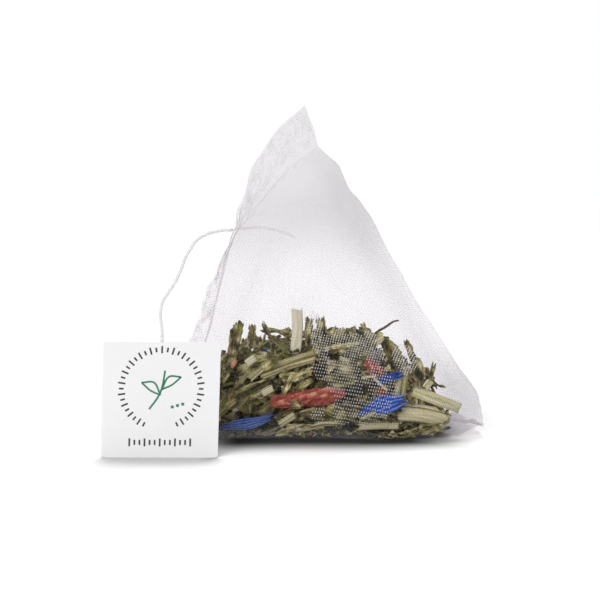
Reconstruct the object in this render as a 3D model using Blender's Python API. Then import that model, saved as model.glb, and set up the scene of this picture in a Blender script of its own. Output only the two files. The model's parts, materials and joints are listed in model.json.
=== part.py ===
"""Pyramid tea bag: a tube of fine mesh, welded flat at each end with the two welds crossed,
filled with leaf tea, lemongrass, fruit and petals, with a thread and a square card tag.

The design is written in millimetres. x runs to the right, y away from the viewer, z up,
with the floor at z = 0. The finished objects are in metres, under one empty that puts
the middle of the footprint at the origin.
"""
import math
import random

import bpy
import bmesh
from mathutils import Matrix, Vector
from mathutils.bvhtree import BVHTree

MM = 0.001

# The two welds, each from its low or right end, and the outer edge of the flat band beyond it
UPPER_WELD = [(-26.6, 0.5, 0.6), (-19.9, 2.1, 17.5), (-17.0, 3.7, 28.5), (-14.4, 5.5, 37.3),
              (-9.7, 8.5, 43.0), (-4.7, 11.5, 48.1), (0.4, 14.5, 51.4)]
UPPER_BAND = [(-29.8, -0.9, 0.6), (-23.0, -0.9, 17.5), (-18.8, -0.5, 28.5), (-14.4, 1.1, 38.0),
              (-11.4, 5.9, 47.6), (-6.8, 10.1, 54.8), (-2.0, 14.5, 58.8)]
LOWER_WELD = [(30.4, 4.6, 2.2), (22.4, 15.0, 1.2), (13.5, 25.4, 0.8), (4.5, 36.0, 0.6), (-4.0, 46.5, 0.6)]
LOWER_BAND = [(29.4, 9.6, 1.2), (26.0, 19.2, 0.6), (18.0, 29.4, 0.5), (8.6, 40.1, 0.5), (-0.2, 51.1, 0.5)]

# Mesh wall
WALL = 0.4
BAND_THICKNESS = 0.5
EDGE_ROUNDING = 4.0
BULGE = 1.9
# Where the mesh stands further out, each as (centre, depth, reach): the tea presses the lower
# front out, and the shoulder under the tip on the right is full
SWELLS = [((15.0, 1.0, 1.0), 2.9, 12.0), ((7.5, 9.0, 38.0), 1.1, 8.0)]
# The bulge and the swells die out over this share of the way to each weld
BULGE_FADE = 1 / 12
SWELL_FADE = 1 / 8
WELD_FADE = 1 / 10
RIPPLE = 0.22
RIPPLE_WAVES = 7
RIPPLE_TWIST = 9.0
BAND_WAVES = 33.0
FOLD_SAMPLES = 3
COLUMNS = 48
BODY_ROWS = 20
BAND_ROWS = 2
HOLLOW_START = 1
GAP_COLUMN_STEP = 2
GAP_ROW_STEP = 3
GAP_FLOOR_CLEARANCE = 1.2

# Thread, as hand-chosen points from the weld to the lower end of the part glued behind the tag
THREAD_DIAMETER = 0.6
THREAD_ROUTE = [(-15.2, 0.9, 38.1), (-16.1, 0.2, 38.2), (-17.6, -0.8, 38.1), (-19.3, -2.2, 37.8),
                (-21.0, -3.8, 36.9), (-21.8, -4.8, 35.8), (-22.8, -6, 34.2), (-23.5, -7, 32.3),
                (-24.5, -8.1, 30.3), (-25.5, -9, 28.8), (-26.5, -9.7, 27.3), (-26.9, -10.2, 25.6),
                (-26.9, -10.45, 24.1), (-26.7, -10.58, 22.7), (-26.7, -10.58, 20.1),
                (-26.8, -10.58, 14.0), (-27.0, -10.58, 8.5), (-26.8, -10.58, 3.0)]
THREAD_STEP = 1.1
# The thread's cut tail, held by the weld and lying loose inside the bag
TAIL_ROUTE = [(-11.7, 9.4, 37.3), (-9.7, 10.6, 37.1), (-7.6, 11.6, 36.6), (-5.6, 12.3, 35.9), (-3.8, 12.8, 35.1)]

# Card tag
TAG_WIDTH = 20.3
TAG_HEIGHT = 20.4
TAG_THICKNESS = 0.32
TAG_CORNER = 0.35
TAG_LEFT = -37.5
TAG_SKEW = 0.72
PIECE_GAP = 0.3

# Loose tea
OUTSIDE = 40.0
HEAP_HEIGHT = 16.0
HEAP_FALL = 0.016
HEAP_CENTRE = (0.0, 14.5, 7.0)
BED_LEVELS = 10
BED_SPOKES = 36
BED_SLACK = 0.4
# A piece moves in by so many steps, up by some, or sideways to the middle, whichever frees it first
SEAT_STEP = 0.25
SEAT_MOVES = sorted(((step, lift, side) for step in range(44) for lift in range(0, 16, 2)
                     for side in range(0, 16, 3)), key=lambda move: move[0] + 1.4 * move[1] + 1.8 * move[2])
LEAF_THICKNESS = 0.35
PETAL_THICKNESS = 0.3
CURL_COUNT = 6

# Colours as linear red, green, blue, with a roughness
FINISHES = {
    "mesh": ((0.86, 0.86, 0.87), 0.35),
    "thread": ((0.86, 0.86, 0.85), 0.8),
    "card": ((0.84, 0.83, 0.84), 0.6),
    "bed": ((0.045, 0.043, 0.022), 0.8),
    "leaf": ((0.075, 0.075, 0.035), 0.75),
    "olive": ((0.17, 0.16, 0.065), 0.75),
    "lemongrass": ((0.56, 0.47, 0.27), 0.6),
    "fruit": ((0.38, 0.075, 0.05), 0.6),
    "petal": ((0.035, 0.085, 0.5), 0.6),
    "twig": ((0.1, 0.085, 0.05), 0.8),
}

# What leans on the inside of a wall. Each line: name, kind, finish, (x, z) of its middle,
# heading in degrees in the wall's plane, length, width
FRONT_PIECES = [
    ("fruit_strip", "fruit", "fruit", (-1.4, 7.6), 6, 13.0, 3.1),
    ("petal_curl", "petal", "petal", (12.6, 5.8), 27, 8.4, 3.6),
    ("lemongrass_tube", "tube", "lemongrass", (21.2, 6.9), -21, 9.4, 1.9),
    ("lemongrass_fluted", "stick", "lemongrass", (18.4, 3.9), -10, 9.2, 2.4),
    ("lemongrass_base", "stick", "lemongrass", (11.2, 1.9), 1, 7.8, 1.3),
    ("petal_left", "petal", "petal", (-13.0, 2.8), 14, 8.6, 3.0),
    ("leaf_flat", "leaf", "olive", (1.8, 4.0), -20, 6.2, 3.8),
    ("stalk_long", "stick", "lemongrass", (-5.0, 13.6), 19, 10.6, 1.3),
    ("leaf_lower_left", "leaf", "leaf", (-12.9, 8.3), 30, 9.0, 2.6),
    ("leaf_lower_left_2", "leaf", "leaf", (-8.6, 5.2), 32, 8.0, 2.6),
    ("leaf_corner_left", "leaf", "leaf", (-18.6, 5.6), 38, 8.0, 3.0),
    ("chip_low", "stick", "lemongrass", (-5.2, 2.4), 33, 3.6, 1.1),
    ("fruit_chip", "fruit", "fruit", (10.3, 13.0), -40, 4.0, 2.3),
    ("petal_upper", "petal", "petal", (12.8, 10.9), 28, 5.0, 1.8),
    ("lemongrass_upright", "stick", "lemongrass", (16.0, 9.6), 84, 5.4, 1.9),
    ("leaf_right_end", "leaf", "leaf", (18.4, 12.1), -80, 4.8, 2.4),
    ("leaf_spiky", "leaf", "leaf", (17.2, 14.9), -72, 5.2, 1.3),
    ("leaf_slope", "leaf", "leaf", (13.6, 15.6), -50, 5.4, 2.8),
    ("leaf_wedge", "leaf", "olive", (9.8, 18.2), -60, 4.4, 2.2),
    ("twig_top", "twig", "twig", (12.6, 19.8), 30, 4.8, 0.6),
    ("leaf_curly", "leaf", "olive", (4.8, 16.6), 12, 5.0, 2.0),
    ("leaf_bright", "leaf", "olive", (4.4, 13.2), -12, 5.6, 3.2),
    ("leaf_middle", "leaf", "leaf", (3.6, 10.6), 18, 7.4, 3.2),
    ("leaf_low_right", "leaf", "leaf", (6.4, 4.6), -14, 7.0, 3.2),
    ("stub_left", "leaf", "olive", (-14.4, 18.0), 86, 6.6, 2.2),
    ("stub_left_thin", "leaf", "leaf", (-11.5, 18.6), 88, 4.0, 1.2),
    ("twig_barbed", "twig", "twig", (-7.9, 18.4), -41, 5.4, 0.8),
    ("lemongrass_stick", "stick", "lemongrass", (-3.7, 19.0), 88, 6.9, 1.7),
    ("stub_middle", "leaf", "leaf", (-1.2, 19.2), 93, 4.8, 1.3),
    ("stub_right", "leaf", "olive", (1.0, 19.6), 97, 4.4, 1.6),
    ("leaf_left_upper", "leaf", "leaf", (-16.0, 13.0), 62, 6.6, 2.8),
    ("leaf_left_inner", "leaf", "leaf", (-10.4, 12.6), 25, 7.0, 3.0),
]
# Each line here: name, kind, finish, (share of the way from the near corner to the back corner,
# height), heading, length, width
RIGHT_BACK_PIECES = [
    ("leaf_back_right", "leaf", "leaf", (0.32, 5.0), 20, 9.0, 3.6),
    ("lemongrass_back_right", "stick", "lemongrass", (0.5, 9.5), -35, 9.0, 1.6),
    ("petal_back_right", "petal", "petal", (0.66, 4.2), 10, 6.4, 2.6),
    ("leaf_back_right_2", "leaf", "olive", (0.4, 13.5), 50, 6.4, 2.8),
    ("fruit_back_right", "fruit", "fruit", (0.52, 4.4), 70, 5.0, 2.6),
]
LEFT_BACK_PIECES = [
    ("leaf_back_left", "leaf", "leaf", (0.34, 5.4), -24, 9.0, 3.6),
    ("lemongrass_back_left", "stick", "lemongrass", (0.5, 8.6), 40, 8.4, 1.5),
    ("leaf_back_left_2", "leaf", "olive", (0.62, 4.8), 12, 7.4, 3.0),
    ("petal_back_left", "petal", "petal", (0.42, 12.6), -40, 5.2, 2.2),
    ("twig_back_left", "twig", "twig", (0.3, 11.0), 65, 6.0, 0.8),
]
# What lies on top of the heap. Each line: name, kind, finish, (x, y), heading, length, width
TOP_PIECES = [
    ("leaf_top", "leaf", "leaf", (-5.5, 16.5), 25, 8.0, 3.4),
    ("leaf_top_2", "leaf", "olive", (5.0, 21.5), -40, 7.0, 3.0),
    ("lemongrass_top", "stick", "lemongrass", (1.5, 14.5), 70, 8.0, 1.5),
    ("twig_top_back", "twig", "twig", (-1.5, 24.0), 10, 7.0, 0.8),
    ("petal_top", "petal", "petal", (9.5, 16.0), 120, 5.6, 2.4),
]


def clear_scene():
    for item in list(bpy.data.objects):
        bpy.data.objects.remove(item, do_unlink=True)


def finish_material(name):
    colour, roughness = FINISHES[name]
    material = bpy.data.materials.get(name) or bpy.data.materials.new(name)
    material.use_nodes = True
    shader = material.node_tree.nodes["Principled BSDF"]
    shader.inputs["Base Color"].default_value = (*colour, 1.0)
    shader.inputs["Roughness"].default_value = roughness
    return material


def smooth_curve(points, share):
    """A point on the smooth curve through points, share running from 0 to 1."""
    last = len(points) - 1
    place = min(max(share, 0.0), 1.0) * last
    index = min(int(place), last - 1)
    f = place - index
    p1, p2 = Vector(points[index]), Vector(points[index + 1])
    p0 = Vector(points[index - 1]) if index > 0 else p1 * 2 - p2
    p3 = Vector(points[index + 2]) if index + 2 <= last else p2 * 2 - p1
    return 0.5 * (2 * p1 + (p2 - p0) * f + (2 * p0 - 5 * p1 + 4 * p2 - p3) * f * f
                  + (3 * p1 - 3 * p2 + p3 - p0) * f * f * f)


def curve_run(points, step):
    """Points about one step apart along the smooth curve through points."""
    fine = [smooth_curve(points, i / 400) for i in range(401)]
    length = sum((b - a).length for a, b in zip(fine, fine[1:]))
    count = max(2, round(length / step))
    run, travelled, target = [fine[0]], 0.0, length / count
    for a, b in zip(fine, fine[1:]):
        travelled += (b - a).length
        if travelled >= target * len(run) and len(run) < count:
            run.append(b)
    run.append(fine[-1])
    return run


def tube_point(turn, rise):
    """The unrounded bag: turn goes once round the mesh tube, rise from the upper weld (0) to
    the lower one (1). Between them the tube's section is a rectangle whose two pairs of
    sides shrink and grow."""
    turn %= 1.0
    quarter = rise / 4
    if turn < quarter:
        turn += 1.0
    upper, lower = 1.0, 1.0
    if turn <= 0.5 - quarter:
        upper = (turn - quarter) / max(0.5 - rise / 2, 1e-9)
        lower = 0.0
    elif turn <= 0.5 + quarter:
        lower = (turn - 0.5 + quarter) / max(rise / 2, 1e-9)
    elif turn <= 1.0 - quarter:
        upper = 1 - (turn - 0.5 - quarter) / max(0.5 - rise / 2, 1e-9)
    else:
        upper = 0.0
        lower = 1 - (turn - 1.0 + quarter) / max(rise / 2, 1e-9)
    return smooth_curve(UPPER_WELD, upper) * (1 - rise) + smooth_curve(LOWER_WELD, lower) * rise


def rounded_point(turn, rise):
    """The bag with its folds rounded, by averaging over a short stretch of the tube."""
    girth = 2 * (Vector(UPPER_WELD[-1]) - Vector(UPPER_WELD[0])).length
    reach = EDGE_ROUNDING / girth * min(1.0, 6 * rise, 6 * (1 - rise))
    samples = [tube_point(turn + reach * k / FOLD_SAMPLES, rise) for k in range(-FOLD_SAMPLES, FOLD_SAMPLES + 1)]
    return sum(samples, Vector()) / len(samples)


def layer_side(turn, fold):
    """+1 on one layer of a flattened tube and -1 on the other, 0 on its two folds."""
    turn = (turn - fold) % 1.0
    away = min(turn, abs(turn - 0.5), 1 - turn) * COLUMNS
    return min(1.0, away) * (1 if turn < 0.5 else -1)


def band_point(weld, band, turn, fold, out):
    """A point of a welded end: out runs from the weld (0) to the cut edge (1)."""
    along = 2 * ((turn - fold) % 1.0)
    along = along if along <= 1 else 2 - along
    inner, outer = smooth_curve(weld, along), smooth_curve(band, along)
    run = smooth_curve(weld, min(along + 0.02, 1)) - smooth_curve(weld, max(along - 0.02, 0))
    across = run.cross(outer - inner).normalized()
    wave = RIPPLE * math.sin(along * BAND_WAVES) * out * (1 - out * 0.4)
    return inner.lerp(outer, out), across * (layer_side(turn, fold) * BAND_THICKNESS / 2), across * wave


def bag_rows():
    """Rows of points from the cut edge of the upper band to that of the lower one."""
    turns = [i / COLUMNS for i in range(COLUMNS)]
    body = [[rounded_point(turn, j / BODY_ROWS) for turn in turns] for j in range(BODY_ROWS + 1)]
    normals = row_normals(body)
    for j, row in enumerate(body):
        rise = j / BODY_ROWS
        bulge = BULGE * min(1.0, rise / BULGE_FADE, (1 - rise) / BULGE_FADE)
        for i, turn in enumerate(turns):
            swell = sum(depth * math.exp(-((row[i] - Vector(centre)).length / reach) ** 2)
                        for centre, depth, reach in SWELLS)
            swell *= min(1.0, (1 - rise) / SWELL_FADE, 2 * rise / SWELL_FADE)
            ripple = RIPPLE * math.sin(2 * math.pi * RIPPLE_WAVES * turn + RIPPLE_TWIST * rise)
            ripple *= math.sin(math.pi * rise)
            row[i] = row[i] + normals[j][i] * (bulge + ripple + swell)
            for weld, band, fold, near, sign in ((UPPER_WELD, UPPER_BAND, 0.0, rise, -1),
                                                 (LOWER_WELD, LOWER_BAND, 0.25, 1 - rise, 1)):
                if near < WELD_FADE:
                    _, half, _ = band_point(weld, band, turn, fold, 0.0)
                    row[i] = row[i] + half * (sign * (1 - near / WELD_FADE))
    upper, lower = [], []
    for k in range(BAND_ROWS, 0, -1):
        upper.append([])
        for turn in turns:
            point, half, wave = band_point(UPPER_WELD, UPPER_BAND, turn, 0.0, k / BAND_ROWS)
            upper[-1].append(point - half + wave)
    for k in range(1, BAND_ROWS + 1):
        lower.append([])
        for turn in turns:
            point, half, _ = band_point(LOWER_WELD, LOWER_BAND, turn, 0.25, k / BAND_ROWS)
            lower[-1].append(point + half)
    return upper + body + lower


def row_normals(rows):
    """Outward normals of rows of points that close round the tube."""
    count = len(rows[0])
    middles = [sum(row, Vector()) / count for row in rows]
    normals = []
    for j, row in enumerate(rows):
        ahead, behind = rows[min(j + 1, len(rows) - 1)], rows[max(j - 1, 0)]
        normals.append([])
        for i in range(count):
            round_way = row[(i + 1) % count] - row[i - 1]
            normal = round_way.cross(ahead[i] - behind[i]).normalized()
            if normal.dot(row[i] - middles[j]) < 0:
                normal = -normal
            normals[-1].append(normal)
    return normals


def above_floor(point, height):
    return Vector((point.x, point.y, max(point.z, height)))


def bag_shell():
    """The bag as one closed mesh: an outer and an inner skin joined round small gaps."""
    rows = bag_rows()
    normals = row_normals(rows)
    outer = [[above_floor(p, 0.0) for p in row] for row in rows]
    first, last = BAND_ROWS + HOLLOW_START, BAND_ROWS + BODY_ROWS - HOLLOW_START
    inner = [[above_floor(p - n * WALL, WALL) for p, n in zip(rows[j], normals[j])]
             for j in range(first, last + 1)]
    points, faces = [], []
    for row in outer + inner:
        points.extend(row)

    def at(j, i, inside=False):
        level = (len(outer) + j - first) if inside else j
        return level * COLUMNS + i % COLUMNS

    gaps = set()
    for j in range(first + 1, last - 1, GAP_ROW_STEP):
        for i in range(j % GAP_COLUMN_STEP, COLUMNS, GAP_COLUMN_STEP):
            corners = [outer[j][i], outer[j + 1][i], outer[j][(i + 1) % COLUMNS], outer[j + 1][(i + 1) % COLUMNS]]
            if min(c.z for c in corners) > GAP_FLOOR_CLEARANCE:
                gaps.add((j, i))
    for j in range(len(outer) - 1):
        for i in range(COLUMNS):
            corners = [(j, i), (j, i + 1), (j + 1, i + 1), (j + 1, i)]
            if (j, i) in gaps:
                for a, b in zip(corners, corners[1:] + corners[:1]):
                    faces.append((at(*a), at(*b), at(*b, True), at(*a, True)))
                continue
            faces.append([at(*c) for c in corners])
            if first <= j < last:
                faces.append([at(*c, True) for c in reversed(corners)])
    for level, inside, fold in ((0, False, 0), (len(outer) - 1, False, COLUMNS // 4),
                                (first, True, 0), (last, True, COLUMNS // 4)):
        base = at(level, 0, inside)
        faces.extend([base + k for k in face] for face in flat_end(fold))
    return points, faces, inner


def flat_end(fold):
    """Faces that close the flattened end of a tube of columns whose fold is at one column."""
    faces = []
    for i in range(COLUMNS // 2):
        face = []
        for index in (fold + i, fold + i + 1, fold - i - 1, fold - i):
            if index % COLUMNS not in face:
                face.append(index % COLUMNS)
        faces.append(face)
    return faces


def inner_wall(inner):
    """The inside of the bag without its gaps, as points and faces."""
    points = [p for row in inner for p in row]
    faces = []
    for j in range(len(inner) - 1):
        for i in range(COLUMNS):
            a, b = j * COLUMNS + i, j * COLUMNS + (i + 1) % COLUMNS
            faces.append((a, b, b + COLUMNS, a + COLUMNS))
    faces.extend(flat_end(0))
    top = (len(inner) - 1) * COLUMNS
    faces.extend([top + k for k in face] for face in flat_end(COLUMNS // 4))
    return points, faces


def mesh_object(name, points, faces, finish, smooth=True):
    """A closed object, in metres, with its faces turned outward."""
    mesh = bpy.data.meshes.new(name)
    mesh.from_pydata([tuple(Vector(p) * MM) for p in points], [], [tuple(f) for f in faces])
    work = bmesh.new()
    work.from_mesh(mesh)
    bmesh.ops.recalc_face_normals(work, faces=work.faces)
    if work.calc_volume(signed=True) < 0:
        bmesh.ops.reverse_faces(work, faces=work.faces)
    bmesh.ops.triangulate(work, faces=work.faces)
    work.to_mesh(mesh)
    work.free()
    if smooth:
        mesh.shade_smooth()
        mesh.set_sharp_from_angle(angle=math.radians(40))
    mesh.materials.append(finish_material(finish))
    item = bpy.data.objects.new(name, mesh)
    bpy.context.collection.objects.link(item)
    return item


def thread_object(name, route):
    curve = bpy.data.curves.new(name, "CURVE")
    curve.dimensions = "3D"
    curve.bevel_depth = THREAD_DIAMETER / 2 * MM
    curve.bevel_resolution = 2
    curve.use_fill_caps = True
    run = curve_run(route, THREAD_STEP)
    spline = curve.splines.new("POLY")
    spline.points.add(len(run) - 1)
    for point, place in zip(spline.points, run):
        point.co = (*(place * MM), 1.0)
    curve.materials.append(finish_material("thread"))
    item = bpy.data.objects.new(name, curve)
    bpy.context.collection.objects.link(item)
    return item


def sheet_solid(top, bottom):
    """A closed solid between two grids of points that match."""
    rows, columns = len(top), len(top[0])
    points = [p for row in top for p in row] + [p for row in bottom for p in row]
    size = rows * columns
    faces = []
    for j in range(rows - 1):
        for i in range(columns - 1):
            a = j * columns + i
            faces.append((a, a + 1, a + columns + 1, a + columns))
            faces.append((size + a, size + a + columns, size + a + columns + 1, size + a + 1))
    rim = [(0, i) for i in range(columns)] + [(j, columns - 1) for j in range(1, rows)]
    rim += [(rows - 1, i) for i in range(columns - 2, -1, -1)] + [(j, 0) for j in range(rows - 2, 0, -1)]
    ring = [j * columns + i for j, i in rim]
    for a, b in zip(ring, ring[1:] + ring[:1]):
        faces.append((a, size + a, size + b, b))
    return points, faces


def leaf_form(length, width, rng):
    """A ragged flake of leaf, curled along its middle."""
    curl, bend = rng.uniform(0.12, 0.3) * width, rng.uniform(-0.1, 0.1) * length
    top, bottom = [], []
    for j in range(CURL_COUNT + 1):
        f = j / CURL_COUNT
        half = width / 2 * (0.45 + 0.55 * math.sin(math.pi * (0.12 + 0.76 * f))) * rng.uniform(0.85, 1.1)
        shift = rng.uniform(-0.06, 0.06) * width
        row = []
        for side in (-1, 0, 1):
            lift = curl * side * side + bend * (2 * f - 1) ** 2 + rng.uniform(-0.04, 0.04) * width
            row.append(Vector(((f - 0.5) * length, side * half + shift, lift)))
        top.append(row)
        bottom.append([p - Vector((0, 0, LEAF_THICKNESS)) for p in row])
    return sheet_solid(top, bottom)


def petal_form(length, width, rng):
    """A petal that widens to a toothed end and is ruffled across."""
    phase = rng.uniform(0, 3)
    top, bottom = [], []
    for j in range(CURL_COUNT):
        f = j / (CURL_COUNT - 1)
        half = width / 2 * (0.35 + 0.65 * f)
        row = []
        for i in range(5):
            side = i / 2 - 1
            reach = (0.12 if i % 2 else -0.02) * length * (f > 0.99)
            ruffle = 0.16 * width * math.sin(phase + 2.8 * side + 2 * f)
            arch = 0.09 * length * math.sin(math.pi * f)
            row.append(Vector(((f - 0.5) * length * 0.9 + reach, side * half, ruffle + arch)))
        top.append(row)
        bottom.append([p - Vector((0, 0, PETAL_THICKNESS)) for p in row])
    return sheet_solid(top, bottom)


def swept_form(sections):
    """A closed solid through matching rings of points, with flat ends."""
    count = len(sections[0])
    points = [p for ring in sections for p in ring]
    faces = []
    for j in range(len(sections) - 1):
        for i in range(count):
            a, b = j * count + i, j * count + (i + 1) % count
            faces.append((a, b, b + count, a + count))
    faces.append(tuple(range(count))[::-1])
    faces.append(tuple(range((len(sections) - 1) * count, len(sections) * count)))
    return points, faces


def stick_form(length, width, rng):
    """A split length of grass stem: a shallow channel, slightly bowed."""
    bow = rng.uniform(-0.03, 0.03) * length
    depth = max(0.22 * width, 0.25)
    sections = []
    for j in range(4):
        f = j / 3
        ring = []
        for angle in (0, 45, 90, 135, 180):
            a = math.radians(angle)
            ring.append(Vector(((f - 0.5) * length, -width / 2 * math.cos(a), depth * math.sin(a))))
        for angle in (180, 90, 0):
            a = math.radians(angle)
            ring.append(Vector(((f - 0.5) * length, -width / 2 * 0.8 * math.cos(a),
                                depth * 0.7 * math.sin(a) - depth * 0.7)))
        lift = bow * (2 * f - 1) ** 2
        sections.append([p + Vector((0, 0, lift)) for p in ring])
    return swept_form(sections)


def tube_form(length, width, rng):
    """A hollow length of grass stem, open at both ends."""
    count, bore = 12, 0.62
    rings = []
    for end, scale in ((-0.5, 1.0), (0.5, 1.0), (0.5, bore), (-0.5, bore)):
        rings.append([Vector((end * length, width / 2 * scale * math.cos(2 * math.pi * k / count),
                              width / 2 * scale * math.sin(2 * math.pi * k / count))) for k in range(count)])
    points = [p for ring in rings for p in ring]
    faces = []
    for level in range(4):
        for k in range(count):
            a, b = level * count + k, level * count + (k + 1) % count
            c = ((level + 1) % 4) * count
            faces.append((a, b, c + (k + 1) % count, c + k))
    return points, faces


def twig_form(length, width, rng):
    """A thin bent stem, five-sided."""
    sections = []
    for j in range(5):
        f = j / 4
        centre = Vector(((f - 0.5) * length, rng.uniform(-0.25, 0.25) * width, 0.06 * length * math.sin(3 * f)))
        radius = width / 2 * (1.05 - 0.35 * f)
        sections.append([centre + Vector((0, radius * math.cos(k * 2 * math.pi / 5),
                                          radius * math.sin(k * 2 * math.pi / 5))) for k in range(5)])
    return swept_form(sections)


def fruit_form(length, width, rng):
    """A dried strip of fruit: flattened, lumpy and rounded off."""
    sections = []
    for j in range(7):
        f = j / 6
        radius = width / 2 * math.sqrt(max(1 - (2 * f - 1) ** 4, 0.12))
        sway = Vector((0, rng.uniform(-0.05, 0.05) * width, 0))
        ring = []
        for k in range(9):
            a = k * 2 * math.pi / 9
            lump = rng.uniform(0.86, 1.08)
            ring.append(sway + Vector(((f - 0.5) * length, radius * lump * math.cos(a),
                                       0.55 * radius * lump * math.sin(a))))
        sections.append(ring)
    return swept_form(sections)


FORMS = {"leaf": leaf_form, "petal": petal_form, "stick": stick_form, "tube": tube_form,
         "twig": twig_form, "fruit": fruit_form}


def grown(points, faces, amount):
    """The same solid with its surface moved out by amount, as a tree for touch tests."""
    normals = [Vector() for _ in points]
    for face in faces:
        corners = [points[i] for i in face]
        normal = Vector()
        for a, b in zip(corners, corners[1:] + corners[:1]):
            normal += a.cross(b)
        for i in face:
            normals[i] += normal
    centre = sum(points, Vector()) / len(points)
    volume = sum((points[f[0]] - centre).dot((points[f[1]] - centre).cross(points[k] - centre))
                 for f in faces for k in f[2:3])
    sign = 1 if volume > 0 else -1
    moved = [p + n.normalized() * (amount * sign) for p, n in zip(points, normals)]
    return BVHTree.FromPolygons(moved, faces)


def axes(direction, facing, heading):
    """A turn that puts a piece's flat side against facing, heading degrees up from direction."""
    normal = facing.normalized()
    level = (direction - normal * direction.dot(normal)).normalized()
    up = normal.cross(level)
    if up.z < 0:
        up = -up
    a = math.radians(heading)
    along = level * math.cos(a) + up * math.sin(a)
    across = normal.cross(along)
    return Matrix((along, across, normal)).transposed()


class Heap:
    """The loose pieces: each is moved in from where it would touch until it is clear."""

    def __init__(self, wall_points, wall_faces):
        self.wall = BVHTree.FromPolygons(wall_points, wall_faces)
        self.taken = [self.wall]
        self.parts = []

    def seat(self, name, kind, finish, start, inward, direction, heading, length, width):
        rng = random.Random(name)
        points, faces = FORMS[kind](length, width, rng)
        facing = -inward if kind != "tube" else inward
        turn = axes(direction, facing, heading)
        points = [turn @ p for p in points]
        centre = Vector(HEAP_CENTRE)
        sideways = Vector((centre.x - start.x, 0, 0)).normalized()
        for step, lift, side in SEAT_MOVES:
            place = start + (inward * step + Vector((0, 0, lift)) + sideways * side) * SEAT_STEP
            if self.wall.ray_cast(place, centre - place, (centre - place).length)[0] is not None:
                continue
            moved = [p + place for p in points]
            skin = grown(moved, faces, PIECE_GAP)
            if not any(skin.overlap(other) for other in self.taken):
                break
        else:
            print("No free place for", name)
        self.taken.append(BVHTree.FromPolygons(moved, faces))
        self.parts.append((name, moved, faces, finish))

    def lean(self, pieces, from_corner, to_corner, inward):
        """Pieces against the wall that stands over the line between two corners."""
        direction = Vector((to_corner.x - from_corner.x, to_corner.y - from_corner.y, 0)).normalized()
        for name, kind, finish, (share, height), heading, length, width in pieces:
            base = from_corner.lerp(to_corner, share)
            outside = Vector((base.x, base.y, height)) - inward * OUTSIDE
            hit = self.wall.ray_cast(outside, inward)[0]
            self.seat(name, kind, finish, hit, inward, direction, heading, length, width)


def leaf_bed(heap):
    """The small leaf in the middle: a mound that fills what the wall and the pieces leave."""
    middle = Vector(HEAP_CENTRE)
    floor = WALL + PIECE_GAP + BED_SLACK / 2
    heights = [floor + (HEAP_HEIGHT - floor) * k / BED_LEVELS for k in range(BED_LEVELS)]
    spokes = [Vector((math.cos(2 * math.pi * i / BED_SPOKES), math.sin(2 * math.pi * i / BED_SPOKES), 0))
              for i in range(BED_SPOKES)]

    def free_reach(height, spoke):
        start = Vector((middle.x, middle.y, height))
        hits = [other.ray_cast(start, spoke)[3] for other in heap.taken]
        mound = math.sqrt(max(HEAP_HEIGHT - height, 0) / HEAP_FALL)
        return min([hit for hit in hits if hit is not None] + [mound])

    fine = [[free_reach(height + nudge, spoke) for spoke in spokes] for height in heights for nudge in (-0.4, 0.6)]
    points = []
    for k, height in enumerate(heights):
        for i, spoke in enumerate(spokes):
            near = [fine[row][(i + b) % BED_SPOKES] for row in range(max(2 * k - 1, 0), min(2 * k + 3, len(fine)))
                    for b in (-1, 0, 1)]
            reach = max(min(near) - PIECE_GAP - BED_SLACK, 1.0)
            points.append(Vector((middle.x, middle.y, height)) + spoke * reach)
    points.append(Vector((middle.x, middle.y, HEAP_HEIGHT)))
    faces = [tuple(range(BED_SPOKES))[::-1]]
    for k in range(BED_LEVELS - 1):
        for i in range(BED_SPOKES):
            a, b = k * BED_SPOKES + i, k * BED_SPOKES + (i + 1) % BED_SPOKES
            faces.append((a, b, b + BED_SPOKES, a + BED_SPOKES))
    top = (BED_LEVELS - 1) * BED_SPOKES
    for i in range(BED_SPOKES):
        faces.append((top + i, top + (i + 1) % BED_SPOKES, len(points) - 1))
    skin = grown(points, faces, PIECE_GAP)
    for _ in range(16):
        touched = {k for other in heap.taken for pair in skin.overlap(other) for k in faces[pair[0]]}
        if not touched:
            break
        for k in touched:
            axis = Vector((middle.x, middle.y, points[k].z))
            points[k] = axis + (points[k] - axis) * 0.92
        skin = grown(points, faces, PIECE_GAP)
    skin = BVHTree.FromPolygons(points, faces)
    heap.taken.append(skin)
    heap.parts.append(("leaf_bed", points, faces, "bed"))
    return skin


def tag_form():
    """The card: a thin upright plate with slightly rounded corners, cut a little out of square."""
    back = THREAD_ROUTE[-1][1] - THREAD_DIAMETER / 2 - PIECE_GAP
    outline = []
    for cx, cz, start in ((TAG_WIDTH - TAG_CORNER, TAG_HEIGHT - TAG_CORNER, 0), (TAG_CORNER, TAG_HEIGHT - TAG_CORNER, 90),
                          (TAG_CORNER, TAG_CORNER, 180), (TAG_WIDTH - TAG_CORNER, TAG_CORNER, 270)):
        for k in range(4):
            a = math.radians(start + 30 * k)
            x, z = cx + TAG_CORNER * math.cos(a), cz + TAG_CORNER * math.sin(a)
            outline.append(Vector((TAG_LEFT + x + TAG_SKEW * z / TAG_HEIGHT, 0, z)))
    front = [p + Vector((0, back - TAG_THICKNESS, 0)) for p in outline]
    behind = [p + Vector((0, back, 0)) for p in outline]
    return swept_form([front, behind])


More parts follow.
